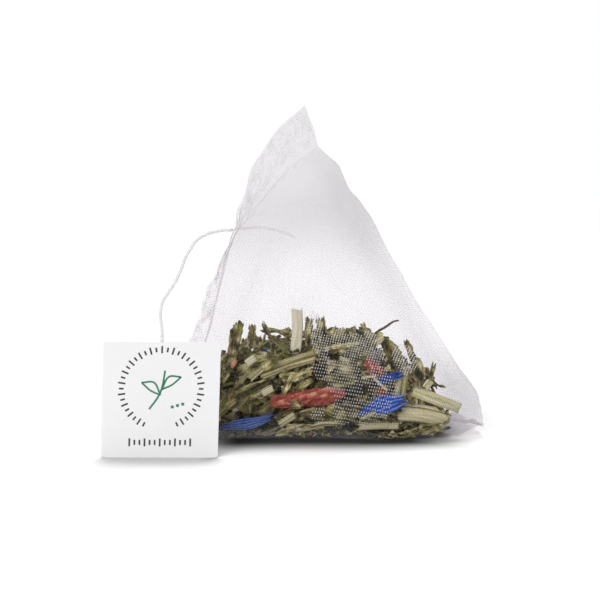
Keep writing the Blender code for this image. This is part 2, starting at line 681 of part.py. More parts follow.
def build():
    clear_scene()
    points, faces, inner = bag_shell()
    items = [mesh_object("mesh_bag", points, faces, "mesh")]
    heap = Heap(*inner_wall(inner))
    left, right, back = Vector(UPPER_WELD[0]), Vector(LOWER_WELD[0]), Vector(LOWER_WELD[-1])
    for name, kind, finish, (x, z), heading, length, width in FRONT_PIECES:
        hit = heap.wall.ray_cast(Vector((x, -OUTSIDE, z)), Vector((0, 1, 0)))[0]
        heap.seat(name, kind, finish, hit, Vector((0, 1, 0)), Vector((1, 0, 0)), heading, length, width)
    heap.lean(RIGHT_BACK_PIECES, right, back, Vector((-0.8, -0.6, 0)))
    heap.lean(LEFT_BACK_PIECES, left, back, Vector((0.88, -0.47, 0)))
    bed = leaf_bed(heap)
    for name, kind, finish, (x, y), heading, length, width in TOP_PIECES:
        hit = bed.ray_cast(Vector((x, y, OUTSIDE)), Vector((0, 0, -1)))[0]
        heap.seat(name, kind, finish, hit, Vector((0, 0, 1)), Vector((1, 0, 0)), heading, length, width)
    for name, part_points, part_faces, finish in heap.parts:
        items.append(mesh_object(name, part_points, part_faces, finish, smooth=False))
    tag_points, tag_faces = tag_form()
    items.append(mesh_object("tag", tag_points, tag_faces, "card", smooth=False))
    corners = [item.matrix_world @ v.co for item in items for v in item.data.vertices]
    items.append(thread_object("string", THREAD_ROUTE))
    items.append(thread_object("string_tail", TAIL_ROUTE))
    middle = [(min(c[k] for c in corners) + max(c[k] for c in corners)) / 2 for k in (0, 1)]
    root = bpy.data.objects.new("tea_bag", None)
    root.location = (-middle[0], -middle[1], 0.0)
    bpy.context.collection.objects.link(root)
    for item in items:
        item.parent = root


build()
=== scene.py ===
"""Looks of the pyramid tea bag: woven mesh, loose tea, twisted thread and a card tag.

Points are in millimetres in the design's own axes (x right, y away from the viewer, z up).
to_frame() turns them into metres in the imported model's frame.
"""
import json
import math

import bpy
import numpy as np
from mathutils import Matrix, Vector
from mathutils.bvhtree import BVHTree

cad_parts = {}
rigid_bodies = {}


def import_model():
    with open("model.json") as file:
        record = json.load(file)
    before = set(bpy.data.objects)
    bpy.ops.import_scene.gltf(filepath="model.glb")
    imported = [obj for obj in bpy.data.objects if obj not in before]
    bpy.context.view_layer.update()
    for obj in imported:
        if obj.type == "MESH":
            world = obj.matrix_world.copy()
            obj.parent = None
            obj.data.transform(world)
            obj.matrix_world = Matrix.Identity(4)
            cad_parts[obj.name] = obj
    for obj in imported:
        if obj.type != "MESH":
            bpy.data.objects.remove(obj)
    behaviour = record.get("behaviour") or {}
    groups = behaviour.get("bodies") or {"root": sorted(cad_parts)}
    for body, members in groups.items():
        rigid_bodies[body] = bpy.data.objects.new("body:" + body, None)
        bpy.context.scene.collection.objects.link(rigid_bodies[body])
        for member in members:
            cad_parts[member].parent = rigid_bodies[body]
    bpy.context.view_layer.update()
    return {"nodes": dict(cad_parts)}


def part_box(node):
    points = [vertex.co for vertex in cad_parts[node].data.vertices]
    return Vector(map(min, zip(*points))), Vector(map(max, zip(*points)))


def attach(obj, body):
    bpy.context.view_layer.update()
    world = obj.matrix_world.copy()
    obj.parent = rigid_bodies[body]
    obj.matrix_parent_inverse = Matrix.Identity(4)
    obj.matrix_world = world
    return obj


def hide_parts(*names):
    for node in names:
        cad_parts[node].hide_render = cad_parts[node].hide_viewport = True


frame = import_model()

MM = 0.001
TAG_LEFT = -37.5
TAG_FRONT = -11.5
TAG_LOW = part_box("tag")[0]
SHIFT = np.array([TAG_LOW.x / MM - TAG_LEFT, TAG_LOW.y / MM - TAG_FRONT, 0.0])

# Camera
AIM = (-2.9, 10.0, 24.0)
DISTANCE = 420.0
CAMERA_TILT = math.radians(10.0)
LENS = 139.36

# Mesh bag: its two welds, and the cut edges of the flat bands beyond them
UPPER_WELD = [(-26.6, 0.5, 0.6), (-19.9, 2.1, 17.5), (-17.0, 3.7, 28.5), (-14.4, 5.5, 37.3),
              (-9.7, 8.5, 43.0), (-4.7, 11.5, 48.1), (0.4, 14.5, 51.4)]
UPPER_BAND = [(-29.8, -0.9, 0.6), (-23.0, -0.9, 17.5), (-18.8, -0.5, 28.5), (-14.4, 1.1, 38.0),
              (-11.4, 5.9, 47.6), (-6.8, 10.1, 54.8), (-2.0, 14.5, 58.8)]
LOWER_WELD = [(30.4, 4.6, 2.2), (22.4, 15.0, 1.2), (13.5, 25.4, 0.8), (4.5, 36.0, 0.6), (-4.0, 46.5, 0.6)]
LOWER_BAND = [(29.4, 9.6, 1.2), (26.0, 19.2, 0.6), (18.0, 29.4, 0.5), (8.6, 40.1, 0.5), (-0.2, 51.1, 0.5)]
EDGE_ROUNDING = 4.0
BULGE = 1.9
SWELLS = [((15.0, 1.0, 1.0), 2.9, 12.0), ((7.5, 9.0, 38.0), 1.1, 8.0)]
BULGE_FADE = 1 / 12
SWELL_FADE = 1 / 8
WELD_FADE = 1 / 10
RIPPLE = 0.22
RIPPLE_WAVES = 7
RIPPLE_TWIST = 9.0
FOLD_SAMPLES = 3
LAYER_HALF = 0.2
FOLD_WIDTH = 1 / 48
# Where the thread pinches the upper weld
PINCH = np.array(UPPER_WELD[3])
UPPER_FOLD = 0.0
LOWER_FOLD = 0.25

# Weave: numbers of threads, and the size of the cloth laid flat.
# A crossing whose painted highlight is above KNUCKLE_LEVEL gets a knuckle.
WARPS = 280
BODY_WEFTS = 121
BAND_WEFTS = 13
TUBE_GIRTH = 118.0
TUBE_HEIGHT = 50.0
THREAD_RADIUS = 0.034
THREAD_SIDES = 3
WEAVE_LIFT = 0.035
BEAD_WIDE = 0.34
BEAD_DEEP = 0.27
KNUCKLE_LEVEL = 0.36
KNUCKLE_HALF = 0.125
KNUCKLE_RADIUS = 0.11
BEAD_RINGS = 150
BEAD_SIDES = 10
FLOOR_REST = 0.1

# Thread of the tag
CORD_DIAMETER = 0.6
CORD_ROUTE = [(-15.2, 0.9, 38.1), (-16.1, 0.2, 38.2), (-17.6, -0.8, 38.1), (-19.3, -2.2, 37.8),
              (-21.0, -3.8, 36.9), (-21.8, -4.8, 35.8), (-22.8, -6, 34.2), (-23.5, -7, 32.3),
              (-24.5, -8.1, 30.3), (-25.5, -9, 28.8), (-26.5, -9.7, 27.3), (-26.9, -10.2, 25.6),
              (-26.9, -10.45, 24.1), (-26.7, -10.58, 22.7), (-26.7, -10.58, 20.1),
              (-26.8, -10.58, 14.0), (-27.0, -10.58, 8.5), (-26.8, -10.58, 3.0)]
TAIL_ROUTE = [(-11.7, 9.4, 37.3), (-9.7, 10.6, 37.1), (-7.6, 11.6, 36.6), (-5.6, 12.3, 35.9),
              (-3.8, 12.8, 35.1)]
CORD_STEP = 0.2
PLY_TURN = 1.9
PLY_SIDES = 16
FUZZ_HAIRS = 150
FUZZ_RADIUS = 0.016

# Card tag
TAG_WIDTH = 20.3
TAG_HEIGHT = 20.4
TAG_THICKNESS = 0.32
TAG_SKEW = 0.72
TAG_CREASE = 10.5
TAG_BOW = 0.1
TAG_CURL = 0.5
TAG_GRID = 41
TAG_CORNER = 0.105
PRINT_LIFT = 0.02
RING_MIDDLE = (10.2, 12.2)
RING_RADIUS = 6.9
RING_BARS = 44
RING_GAP = (250, 290)
TICKS = 13
TICK_STEP = 0.88

# Tea
FLAKES = 115
CRUMBS = 560
TOP_PIECES = 420
WALL_COLUMNS = 120
WALL_ROWS = 60
HEAP_CENTRE = np.array([0.0, 14.5, 7.0])
WALL_CLEARANCE = 0.16
HEAP_TOP = [(-30, 1), (-24, 2), (-20, 8), (-17, 15), (-13, 16.6), (-6, 15.6), (2, 16.2), (8, 16.8),
            (13, 15.4), (17, 13.4), (20.5, 10.0), (23, 6), (25, 3), (26, 0.5)]


def unit(vectors):
    return vectors / np.maximum(np.linalg.norm(vectors, axis=-1, keepdims=True), 1e-12)


def circle(sides):
    """Angles of the points round a ring."""
    return 2 * math.pi * np.arange(sides) / sides


def to_frame(points):
    return (np.asarray(points, dtype=float) + SHIFT) * MM


def smooth_curve(points, share):
    """Points on the smooth curve through points, at shares from 0 to 1."""
    points = np.array(points, dtype=float)
    last = len(points) - 1
    place = np.clip(share, 0.0, 1.0) * last
    index = np.minimum(place.astype(int), last - 1)
    f = (place - index)[..., None]
    padded = np.vstack([2 * points[0] - points[1], points, 2 * points[-1] - points[-2]])
    p0, p1, p2, p3 = (padded[index + k] for k in range(4))
    return 0.5 * (2 * p1 + (p2 - p0) * f + (2 * p0 - 5 * p1 + 4 * p2 - p3) * f * f
                  + (3 * p1 - 3 * p2 + p3 - p0) * f * f * f)


def curve_run(points, step):
    """Points one step apart along the smooth curve through points."""
    fine = smooth_curve(points, np.linspace(0, 1, 1600))
    lengths = np.concatenate([[0.0], np.cumsum(np.linalg.norm(np.diff(fine, axis=0), axis=1))])
    count = max(2, round(lengths[-1] / step)) + 1
    at = np.linspace(0, lengths[-1], count)
    return np.stack([np.interp(at, lengths, fine[:, k]) for k in range(3)], axis=1)


def wander(points, wavelength, seed, waves=8):
    """A smooth irregular value at each point, about -1.5 to 1.5, that changes over one wavelength."""
    rng = np.random.default_rng(seed)
    total = np.zeros(points.shape[:-1])
    for _ in range(waves):
        direction = unit(rng.normal(size=3))
        length = wavelength * rng.uniform(0.7, 1.5)
        total += np.sin(points @ direction * (2 * math.pi / length) + rng.uniform(0, 2 * math.pi))
    return total / math.sqrt(waves / 2)


# Bag surface


def tube_points(turn, rise):
    """The unrounded bag: turn goes once round the tube, rise from the upper weld (0) to the lower (1)."""
    turn = turn % 1.0
    quarter = rise / 4
    turn = np.where(turn < quarter, turn + 1, turn)
    wide = np.maximum(0.5 - rise / 2, 1e-9)
    narrow = np.maximum(rise / 2, 1e-9)
    front = turn <= 0.5 - quarter
    right = ~front & (turn <= 0.5 + quarter)
    back = ~front & ~right & (turn <= 1 - quarter)
    upper = np.select([front, right, back], [(turn - quarter) / wide, 1.0, 1 - (turn - 0.5 - quarter) / wide],
                      0.0)
    lower = np.select([front, right, back], [0.0, (turn - 0.5 + quarter) / narrow, 1.0],
                      1 - (turn - 1 + quarter) / narrow)
    share = rise[..., None]
    return smooth_curve(UPPER_WELD, upper) * (1 - share) + smooth_curve(LOWER_WELD, lower) * share


def grid_normals(grid):
    """Outward normals of a grid of points whose columns close round the tube."""
    round_way = np.roll(grid, -1, axis=1) - np.roll(grid, 1, axis=1)
    along = np.gradient(grid, axis=0)
    normals = unit(np.cross(round_way, along))
    middles = grid.mean(axis=1, keepdims=True)
    facing = ((grid - middles) * normals).sum(axis=-1, keepdims=True)
    return normals * np.where(facing < 0, -1.0, 1.0)


def layer_side(turn, fold):
    """+1 on one layer of a flattened tube and -1 on the other, 0 on its two folds."""
    turn = (turn - fold) % 1.0
    away = np.minimum(np.minimum(turn, np.abs(turn - 0.5)), 1 - turn) / FOLD_WIDTH
    return np.minimum(1.0, away) * np.where(turn < 0.5, 1.0, -1.0)


def band_points(weld, band, turn, fold, out):
    """Middle points of a flat band and the way across it. out runs from the weld (0) to the edge (1)."""
    along = 2 * ((turn - fold) % 1.0)
    along = np.where(along <= 1, along, 2 - along)
    inner, outer = smooth_curve(weld, along), smooth_curve(band, along)
    run = smooth_curve(weld, np.minimum(along + 0.02, 1)) - smooth_curve(weld, np.maximum(along - 0.02, 0))
    across = unit(np.cross(run, outer - inner))
    return inner + (outer - inner) * out[..., None], across


def bag_body(turns, rises):
    """The bag between its welds, with folds rounded, swollen by the tea, puckered and creased."""
    turn, rise = np.meshgrid(turns, rises)
    girth = 2 * np.linalg.norm(np.subtract(UPPER_WELD[-1], UPPER_WELD[0]))
    reach = EDGE_ROUNDING / girth * np.minimum(1.0, np.minimum(6 * rise, 6 * (1 - rise)))
    samples = [tube_points(turn + reach * k / FOLD_SAMPLES, rise)
               for k in range(-FOLD_SAMPLES, FOLD_SAMPLES + 1)]
    grid = sum(samples) / len(samples)
    normals = grid_normals(grid)
    lift = BULGE * np.minimum(1.0, np.minimum(rise / BULGE_FADE, (1 - rise) / BULGE_FADE))
    swell = sum(depth * np.exp(-(np.linalg.norm(grid - centre, axis=-1) / reach_of) ** 2)
                for centre, depth, reach_of in SWELLS)
    lift += swell * np.minimum(1.0, np.minimum((1 - rise) / SWELL_FADE, 2 * rise / SWELL_FADE))
    lift += RIPPLE * np.sin(2 * math.pi * RIPPLE_WAVES * turn + RIPPLE_TWIST * rise) * np.sin(math.pi * rise)
    lift += wrinkles(grid, turn, rise)
    grid = grid + normals * lift[..., None]
    for weld, band, fold, near, sign in ((UPPER_WELD, UPPER_BAND, UPPER_FOLD, rise, -1),
                                         (LOWER_WELD, LOWER_BAND, LOWER_FOLD, 1 - rise, 1)):
        _, across = band_points(weld, band, turn, fold, np.zeros_like(turn))
        fade = np.maximum(0.0, 1 - near / WELD_FADE) * sign * LAYER_HALF
        grid = grid + across * (layer_side(turn, fold) * fade)[..., None]
    return grid


def wrinkles(grid, turn, rise):
    """Small lifts of the mesh: tucks along the welds, slack dents above the tea, creases from the pinch."""
    slack = np.clip((grid[..., 2] - 15) / 8, 0.25, 1.0) * np.sin(math.pi * rise) ** 0.5
    lift = 0.28 * slack * wander(grid, 13.0, 3)
    folds = 1 - np.abs(wander(grid, 11.0, 5))
    lift += 0.22 * slack * np.clip(folds, 0, 1) ** 3
    weave_x = turn * TUBE_GIRTH
    for near, seed in ((rise, 11), (1 - rise, 12)):
        height = near * TUBE_HEIGHT
        tuck = np.sin(weave_x * 2 * math.pi / 3.4 + 1.5 * wander(grid, 9.0, seed))
        lift += 0.16 * tuck * np.exp(-height / 3.5) * np.minimum(1, height / 1.0)
    away = grid - PINCH
    distance = np.linalg.norm(away, axis=-1)
    angle = np.arctan2(away[..., 2], away[..., 0])
    rays = np.sin(11 * angle + 0.7 * np.sin(3 * angle))
    lift += 0.42 * rays * np.exp(-distance / 11) * np.minimum(1, distance / 5) * slack
    fold = turn - (0.5 - rise / 4)
    crease = np.exp(-((fold + 0.036) / 0.008) ** 2) - 0.8 * np.exp(-((fold + 0.017) / 0.009) ** 2)
    lift += 0.4 * crease * np.clip((grid[..., 2] - 14) / 8, 0, 1) * np.clip((44 - grid[..., 2]) / 6, 0, 1)
    return lift


def band_grid(weld, band, fold, turns, outs, sign, seed):
    """Rows of one flat band, crinkled, its two layers lying a little apart."""
    turn, out = np.meshgrid(turns, outs)
    grid, across = band_points(weld, band, turn, fold, out)
    side = layer_side(turn, fold)
    crinkle = 0.2 * wander(grid, 3.2, seed) * np.sin(math.pi * np.clip(out, 0, 1)) ** 0.5
    crinkle += 0.28 * wander(grid, 8.0, seed + 1) * out
    gap = LAYER_HALF * (1 + 0.5 * wander(grid, 6.0, seed + 2) * out)
    return grid + across * (sign * side * gap + crinkle)[..., None]


def bag_fabric(turns, body_rises, band_outs):
    """The whole cloth as rows of points from the upper band's cut edge to the lower band's."""
    upper = band_grid(UPPER_WELD, UPPER_BAND, UPPER_FOLD, turns, band_outs[::-1], -1, 21)
    lower = band_grid(LOWER_WELD, LOWER_BAND, LOWER_FOLD, turns, band_outs, 1, 31)
    grid = np.concatenate([upper, bag_body(turns, body_rises), lower])
    grid[..., 2] = np.maximum(grid[..., 2], FLOOR_REST)
    return grid


# Building meshes


class Form:
    """A bare mesh: points, quads, each quad corner's place on the bake map (0 to 1) and on the grain (mm),
    and a tint value for each point."""

    def __init__(self, points, quads, chart, grain, tint=0.5):
        self.points = np.asarray(points, dtype=float)
        self.quads = np.asarray(quads, dtype=int)
        self.chart = np.asarray(chart, dtype=float)
        self.grain = np.asarray(grain, dtype=float)
        self.tint = np.broadcast_to(np.asarray(tint, dtype=float), (len(self.points),)).copy()


def grid_quads(rows, columns):
    index = np.arange(rows * columns).reshape(rows, columns)
    return corners_of(index).reshape(-1, 4)


def corners_of(grid):
    """The four corners of each cell of a grid, in order."""
    return np.stack([grid[:-1, :-1], grid[1:, :-1], grid[1:, 1:], grid[:-1, 1:]], axis=2)


def chart_grid(rows, columns, low, high):
    across, along = np.meshgrid(np.linspace(low[1], high[1], columns), np.linspace(low[0], high[0], rows))
    return np.stack([along, across], axis=-1)


def sheet_form(top, thickness, length, width, tint=0.5):
    """A closed thin piece from one grid of points, thickened along its normals."""
    rows, columns = top.shape[:2]
    normals = unit(np.cross(np.gradient(top, axis=0), np.gradient(top, axis=1)))
    depth = np.broadcast_to(np.asarray(thickness, dtype=float), (rows, columns))[..., None]
    bottom = top - normals * depth
    points = np.concatenate([top.reshape(-1, 3), bottom.reshape(-1, 3)])
    upper = grid_quads(rows, columns)
    size = rows * columns
    lower = upper[:, ::-1] + size
    index = np.arange(size).reshape(rows, columns)
    rim = np.concatenate([index[0, :-1], index[:-1, -1], index[-1, :0:-1], index[:0:-1, 0]])
    after = np.roll(rim, -1)
    edge = np.stack([rim, after, after + size, rim + size], axis=1)
    upper_chart = corners_of(chart_grid(rows, columns, (0.02, 0.02), (0.98, 0.46))).reshape(-1, 4, 2)
    lower_chart = corners_of(chart_grid(rows, columns, (0.02, 0.5), (0.98, 0.94))).reshape(-1, 4, 2)[:, ::-1]
    step = np.linspace(0.02, 0.98, len(rim) + 1)
    edge_chart = np.stack([np.stack([step[:-1], np.full(len(rim), 0.96)], 1),
                           np.stack([step[1:], np.full(len(rim), 0.96)], 1),
                           np.stack([step[1:], np.full(len(rim), 0.985)], 1),
                           np.stack([step[:-1], np.full(len(rim), 0.985)], 1)], axis=1)
    flat = chart_grid(rows, columns, (0, 0), (length, width)).reshape(-1, 2)
    flat = np.concatenate([flat, flat + (0.37, 0.61)])
    quads = np.concatenate([upper, lower, edge])
    chart = np.concatenate([upper_chart, lower_chart, edge_chart])
    tints = np.broadcast_to(np.asarray(tint, dtype=float), (rows, columns)).reshape(-1)
    return Form(points, quads, chart, flat[quads], np.concatenate([tints, tints]))


def tube_form(rings, length, girth, tint=0.5, closed=True):
    """A closed piece through matching rings of points, with an even number of sides."""
    count, sides = rings.shape[:2]
    index = np.arange(count * sides).reshape(count, sides)
    wrapped = np.concatenate([index, index[:, :1]], axis=1)
    quads = corners_of(wrapped).reshape(-1, 4)[:, ::-1]
    top = 0.9 if closed else 0.98
    chart = corners_of(chart_grid(count, sides + 1, (0.02, 0.02), (0.98, top))).reshape(-1, 4, 2)[:, ::-1]
    grain = corners_of(chart_grid(count, sides + 1, (0, 0), (length, girth))).reshape(-1, 4, 2)[:, ::-1]
    tints = np.broadcast_to(np.asarray(tint, dtype=float), (count, sides)).reshape(-1)
    if closed:
        half = np.arange(sides // 2 - 1)
        cap = np.stack([half, half + 1, sides - 2 - half, sides - 1 - half], axis=1)
        last = (count - 1) * sides
        angle = circle(sides)
        disc = np.stack([np.cos(angle), np.sin(angle)], axis=1) * 0.018
        quads = np.concatenate([quads, cap, cap[:, ::-1] + last])
        chart = np.concatenate([chart, disc[cap] + (0.25, 0.955), disc[cap[:, ::-1]] + (0.75, 0.955)])
        grain = np.concatenate([grain, disc[cap] * 30, disc[cap[:, ::-1]] * 30])
    return Form(rings.reshape(-1, 3), quads, chart, grain, tints)


def join_forms(forms):
    """One form from several, each with its own cell of the bake map."""
    side = math.ceil(math.sqrt(len(forms)))
    points, quads, chart, grain, tint, base = [], [], [], [], [], 0
    for number, form in enumerate(forms):
        cell = np.array([number % side, number // side], dtype=float)
        points.append(form.points)
        quads.append(form.quads + base)
        chart.append((form.chart + cell) / side)
        grain.append(form.grain + cell * 7.3)
        tint.append(form.tint)
        base += len(form.points)
    return Form(*(np.concatenate(part) for part in (points, quads, chart, grain, tint)))


def make_piece(name, form, material, replaces=(), smooth=True):
    """An object in the scene that rides on the bag."""
    mesh = bpy.data.meshes.new(name)
    mesh.from_pydata(to_frame(form.points).tolist(), [], form.quads.tolist())
    for layer_name, values in (("OFBake", form.chart), ("grain", form.grain)):
        layer = mesh.uv_layers.new(name=layer_name, do_init=False)
        layer.uv.foreach_set("vector", values.astype(np.float32).ravel())
    tint = mesh.attributes.new("tint", "FLOAT", "POINT")
    tint.data.foreach_set("value", form.tint.astype(np.float32))
    if smooth:
        mesh.shade_smooth()
    mesh.materials.append(material)
    piece = bpy.data.objects.new(name, mesh)
    bpy.context.collection.objects.link(piece)
    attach(piece, "root")
    if replaces:
        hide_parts(*replaces)
    return piece


# Materials


def new_group(name, inputs, outputs):
    """A shader node group with its sockets made, and its input and output nodes."""
    group = bpy.data.node_groups.new(name, "ShaderNodeTree")
    for label, kind, value in inputs:
        socket = group.interface.new_socket(name=label, in_out="INPUT", socket_type=kind)
        socket.default_value = value
    for label, kind in outputs:
        group.interface.new_socket(name=label, in_out="OUTPUT", socket_type=kind)
    return group, group.nodes.new("NodeGroupInput"), group.nodes.new("NodeGroupOutput")


def feed(tree, socket, value):
    """Links another node's output to a socket, or sets the socket's own value."""
    if isinstance(value, bpy.types.NodeSocket):
        tree.links.new(value, socket)
    else:
        socket.default_value = value


def add_node(tree, kind, settings=None, **inputs):
    """A node with its settings and its inputs given by socket name: a value, or another node's output."""
    node = tree.nodes.new(kind)
    for key, value in (settings or {}).items():
        setattr(node, key, value)
    for label, value in inputs.items():
        feed(tree, node.inputs[label.replace("_", " ")], value)
    return node


def mixed(tree, kind, factor, first, second, blend="MIX"):
    """A Mix node of colours or numbers, and its result."""
    node = tree.nodes.new("ShaderNodeMix")
    node.data_type = kind
    if kind == "RGBA":
        node.blend_type = blend
    left, right, result = {"FLOAT": (2, 3, 0), "RGBA": (6, 7, 2)}[kind]
    for number, value in ((0, factor), (left, first), (right, second)):
        feed(tree, node.inputs[number], value)
    return node.outputs[result]


def math_node(tree, operation, first, second=0.0):
    node = tree.nodes.new("ShaderNodeMath")
    node.operation = operation
    for socket, value in zip(node.inputs, (first, second)):
        feed(tree, socket, value)
    return node.outputs[0]


def soft_step(tree, value, start, end, low, high):
    """A number that runs softly from low to high while value goes from start to end."""
    node = add_node(tree, "ShaderNodeMapRange", {"interpolation_type": "SMOOTHSTEP"}, Value=value,
                    From_Min=start, From_Max=end, To_Min=low, To_Max=high)
    return node.outputs[0]


def mix_shaders(tree, share, first, second):
    """A mix of two nodes' shaders, share being that of the second: a number or another node's output."""
    both = tree.nodes.new("ShaderNodeMixShader")
    for number, value in enumerate((share, first.outputs[0], second.outputs[0])):
        feed(tree, both.inputs[number], value)
    return both


def put_out(tree, node):
    tree.links.new(node.outputs[0], tree.nodes["Material Output"].inputs["Surface"])


def put_out_so_far(tree):
    return tree.nodes["Material Output"].inputs["Surface"].links[0].from_node


def ramp(tree, factor, stops):
    node = tree.nodes.new("ShaderNodeValToRGB")
    tree.links.new(factor, node.inputs[0])
    elements = node.color_ramp.elements
    while len(elements) < len(stops):
        elements.new(0.5)
    for element, (place, colour) in zip(elements, stops):
        element.position = place
        element.color = (*colour, 1.0)
    return node.outputs["Color"]


def grain_group():
    """Streaks that run along a piece, and finer fibres across them."""
    group, given, result = new_group("Grain", [
        ("Along", "NodeSocketFloat", 0.3), ("Across", "NodeSocketFloat", 3.0),
        ("Rough", "NodeSocketFloat", 0.6),
    ], [("Streak", "NodeSocketFloat"), ("Speck", "NodeSocketFloat")])
    place = add_node(group, "ShaderNodeUVMap", {"uv_map": "grain"}).outputs["UV"]
    parts = add_node(group, "ShaderNodeSeparateXYZ", Vector=place)
    along = math_node(group, "MULTIPLY", parts.outputs["X"], given.outputs["Along"])
    across = math_node(group, "MULTIPLY", parts.outputs["Y"], given.outputs["Across"])
    stretched = add_node(group, "ShaderNodeCombineXYZ", X=along, Y=across).outputs[0]
    streak = add_node(group, "ShaderNodeTexNoise", None, Vector=stretched, Scale=1.0, Detail=6.0,
                      Roughness=given.outputs["Rough"])
    speck = add_node(group, "ShaderNodeTexNoise", None, Vector=place, Scale=2.6, Detail=8.0, Roughness=0.7)
    group.links.new(streak.outputs["Fac"], result.inputs["Streak"])
    group.links.new(speck.outputs["Fac"], result.inputs["Speck"])
    return group


def dust_group():
    """Pale dust that has settled in patches, from 0 to 1."""
    group, given, result = new_group("Dust", [
        ("Size", "NodeSocketFloat", 2.0), ("Cover", "NodeSocketFloat", 0.5),
    ], [("Mask", "NodeSocketFloat")])
    place = add_node(group, "ShaderNodeUVMap", {"uv_map": "grain"}).outputs["UV"]
    patch = add_node(group, "ShaderNodeTexNoise", None, Vector=place, Scale=given.outputs["Size"],
                     Detail=10.0, Roughness=0.75)
    bare = math_node(group, "SUBTRACT", 1.0, given.outputs["Cover"])
    high = math_node(group, "SUBTRACT", patch.outputs["Fac"], bare)
    mask = add_node(group, "ShaderNodeClamp", None, Value=math_node(group, "MULTIPLY", high, 6.0))
    group.links.new(mask.outputs[0], result.inputs["Mask"])
    return group


GRAIN = grain_group()
DUST = dust_group()


# The filament's tones: the grey, the white and opaque share that its tint adds as painted highlight, and how
# clear it is.
FILAMENT_GREY = (0.94, 0.925, 0.94, 1.0)
FILAMENT_HIGHLIGHT_WHITE = (0.99, 0.985, 0.99, 1.0)
FILAMENT_CLEAR = (0.984, 0.979, 0.984, 1.0)
FILAMENT_BODY = 0.04
FILAMENT_HIGHLIGHT_SHARE = 0.95
# The veil's tones: grey where its tint holds the most painted shade, paler where it holds none, and its
# opaque share.
VEIL_SHADED = (0.83, 0.82, 0.83, 1.0)
VEIL_OPEN = (0.94, 0.93, 0.94, 1.0)
VEIL_BODY = 0.16
STAIN_STRENGTH = 0.85
DUST_STRENGTH = 0.6
DUST_SIZE = 2.2


def new_material(name, roughness, specular=0.3):
    material = bpy.data.materials.new(name)
    material.use_nodes = True
    tree = material.node_tree
    shader = tree.nodes["Principled BSDF"]
    shader.inputs["Roughness"].default_value = roughness
    shader.inputs["Specular IOR Level"].default_value = specular
    return material, tree, shader


def placed_group(tree, group, **inputs):
    node = add_node(tree, "ShaderNodeGroup", {"node_tree": group})
    for label, value in inputs.items():
        node.inputs[label].default_value = value
    return node


def bumped(tree, shader, height, strength, distance):
    bump = add_node(tree, "ShaderNodeBump", None, Height=height, Strength=strength, Distance=distance * MM)
    tree.links.new(bump.outputs["Normal"], shader.inputs["Normal"])


def plant_material(name, stops, along, across, contrast, dust_colour, dust_cover, roughness, bump=0.5,
                   glow=0.0, specular=0.3, patches=()):
    """Dried plant matter: colour by tint, streaked along the piece, specked, with stains and dust on it."""
    material, tree, shader = new_material(name, roughness, specular)
    grain = placed_group(tree, GRAIN, Along=along, Across=across)
    tint = add_node(tree, "ShaderNodeAttribute", {"attribute_name": "tint"}).outputs["Fac"]
    place = tint
    for label, strength in (("Streak", contrast), ("Speck", contrast * 0.5)):
        change = math_node(tree, "SUBTRACT", grain.outputs[label], 0.5)
        place = math_node(tree, "ADD", place, math_node(tree, "MULTIPLY", change, strength))
    colour = ramp(tree, place, stops)
    layers = [(patch, size, cover, STAIN_STRENGTH) for patch, size, cover in patches]
    layers.append((dust_colour, DUST_SIZE, dust_cover, DUST_STRENGTH))
    for layer, size, cover, strength in layers:
        cloud = placed_group(tree, DUST, Size=size, Cover=cover)
        mask = math_node(tree, "MULTIPLY", cloud.outputs["Mask"], strength)
        colour = mixed(tree, "RGBA", mask, colour, (*layer, 1.0))
    tree.links.new(colour, shader.inputs["Base Color"])
    bumped(tree, shader, math_node(tree, "ADD", grain.outputs["Streak"], grain.outputs["Speck"]), bump, 0.25)
    if glow:
        let_through(tree, shader, colour, glow)
    return material


def let_through(tree, shader, colour, share):
    """Mixes in light that comes through a thin piece."""
    through = add_node(tree, "ShaderNodeBsdfTranslucent", None, Color=colour)
    put_out(tree, mix_shaders(tree, share, shader, through))


def seen_through(tree, share):
    """Makes the surface partly clear."""
    clear = add_node(tree, "ShaderNodeBsdfTransparent")
    put_out(tree, mix_shaders(tree, share, put_out_so_far(tree), clear))


def filament_material():
    """Clear white filament that dims what is behind it a little, and is whiter and less clear where its tint
    holds painted highlights and glow.
    """
    material, tree, shader = new_material("mesh filament", 0.3, 0.5)
    tint = add_node(tree, "ShaderNodeAttribute", {"attribute_name": "tint"}).outputs["Fac"]
    colour = mixed(tree, "RGBA", tint, FILAMENT_GREY, FILAMENT_HIGHLIGHT_WHITE)
    tree.links.new(colour, shader.inputs["Base Color"])
    let_through(tree, shader, colour, 0.4)
    clear = add_node(tree, "ShaderNodeBsdfTransparent", None, Color=FILAMENT_CLEAR)
    share = math_node(tree, "ADD", math_node(tree, "MULTIPLY", tint, FILAMENT_HIGHLIGHT_SHARE), FILAMENT_BODY)
    put_out(tree, mix_shaders(tree, share, clear, put_out_so_far(tree)))
    return material


def veil_material():
    """What the finest fibres of the mesh do together: a faint grey that grows with tint, which holds the
    painted shade of the mesh.
    """
    material, tree, shader = new_material("mesh veil", 0.6, 0.2)
    tint = add_node(tree, "ShaderNodeAttribute", {"attribute_name": "tint"}).outputs["Fac"]
    shader.inputs["Base Color"].default_value = FILAMENT_GREY
    dimmed = mixed(tree, "RGBA", tint, VEIL_OPEN, VEIL_SHADED)
    clear = add_node(tree, "ShaderNodeBsdfTransparent", None, Color=dimmed)
    share = math_node(tree, "MULTIPLY", math_node(tree, "POWER", tint, 3.0), VEIL_BODY)
    put_out(tree, mix_shaders(tree, share, clear, shader))
    return material


def weld_material():
    material, tree, shader = new_material("melted weld", 0.35, 0.5)
    grain = placed_group(tree, GRAIN, Along=0.6, Across=4.0)
    colour = mixed(tree, "RGBA", grain.outputs["Streak"], (0.93, 0.92, 0.93, 1.0), (0.99, 0.98, 0.99, 1.0))
    tree.links.new(colour, shader.inputs["Base Color"])
    bumped(tree, shader, grain.outputs["Streak"], 0.6, 0.1)
    let_through(tree, shader, colour, 0.4)
    seen_through(tree, 0.95)
    return material


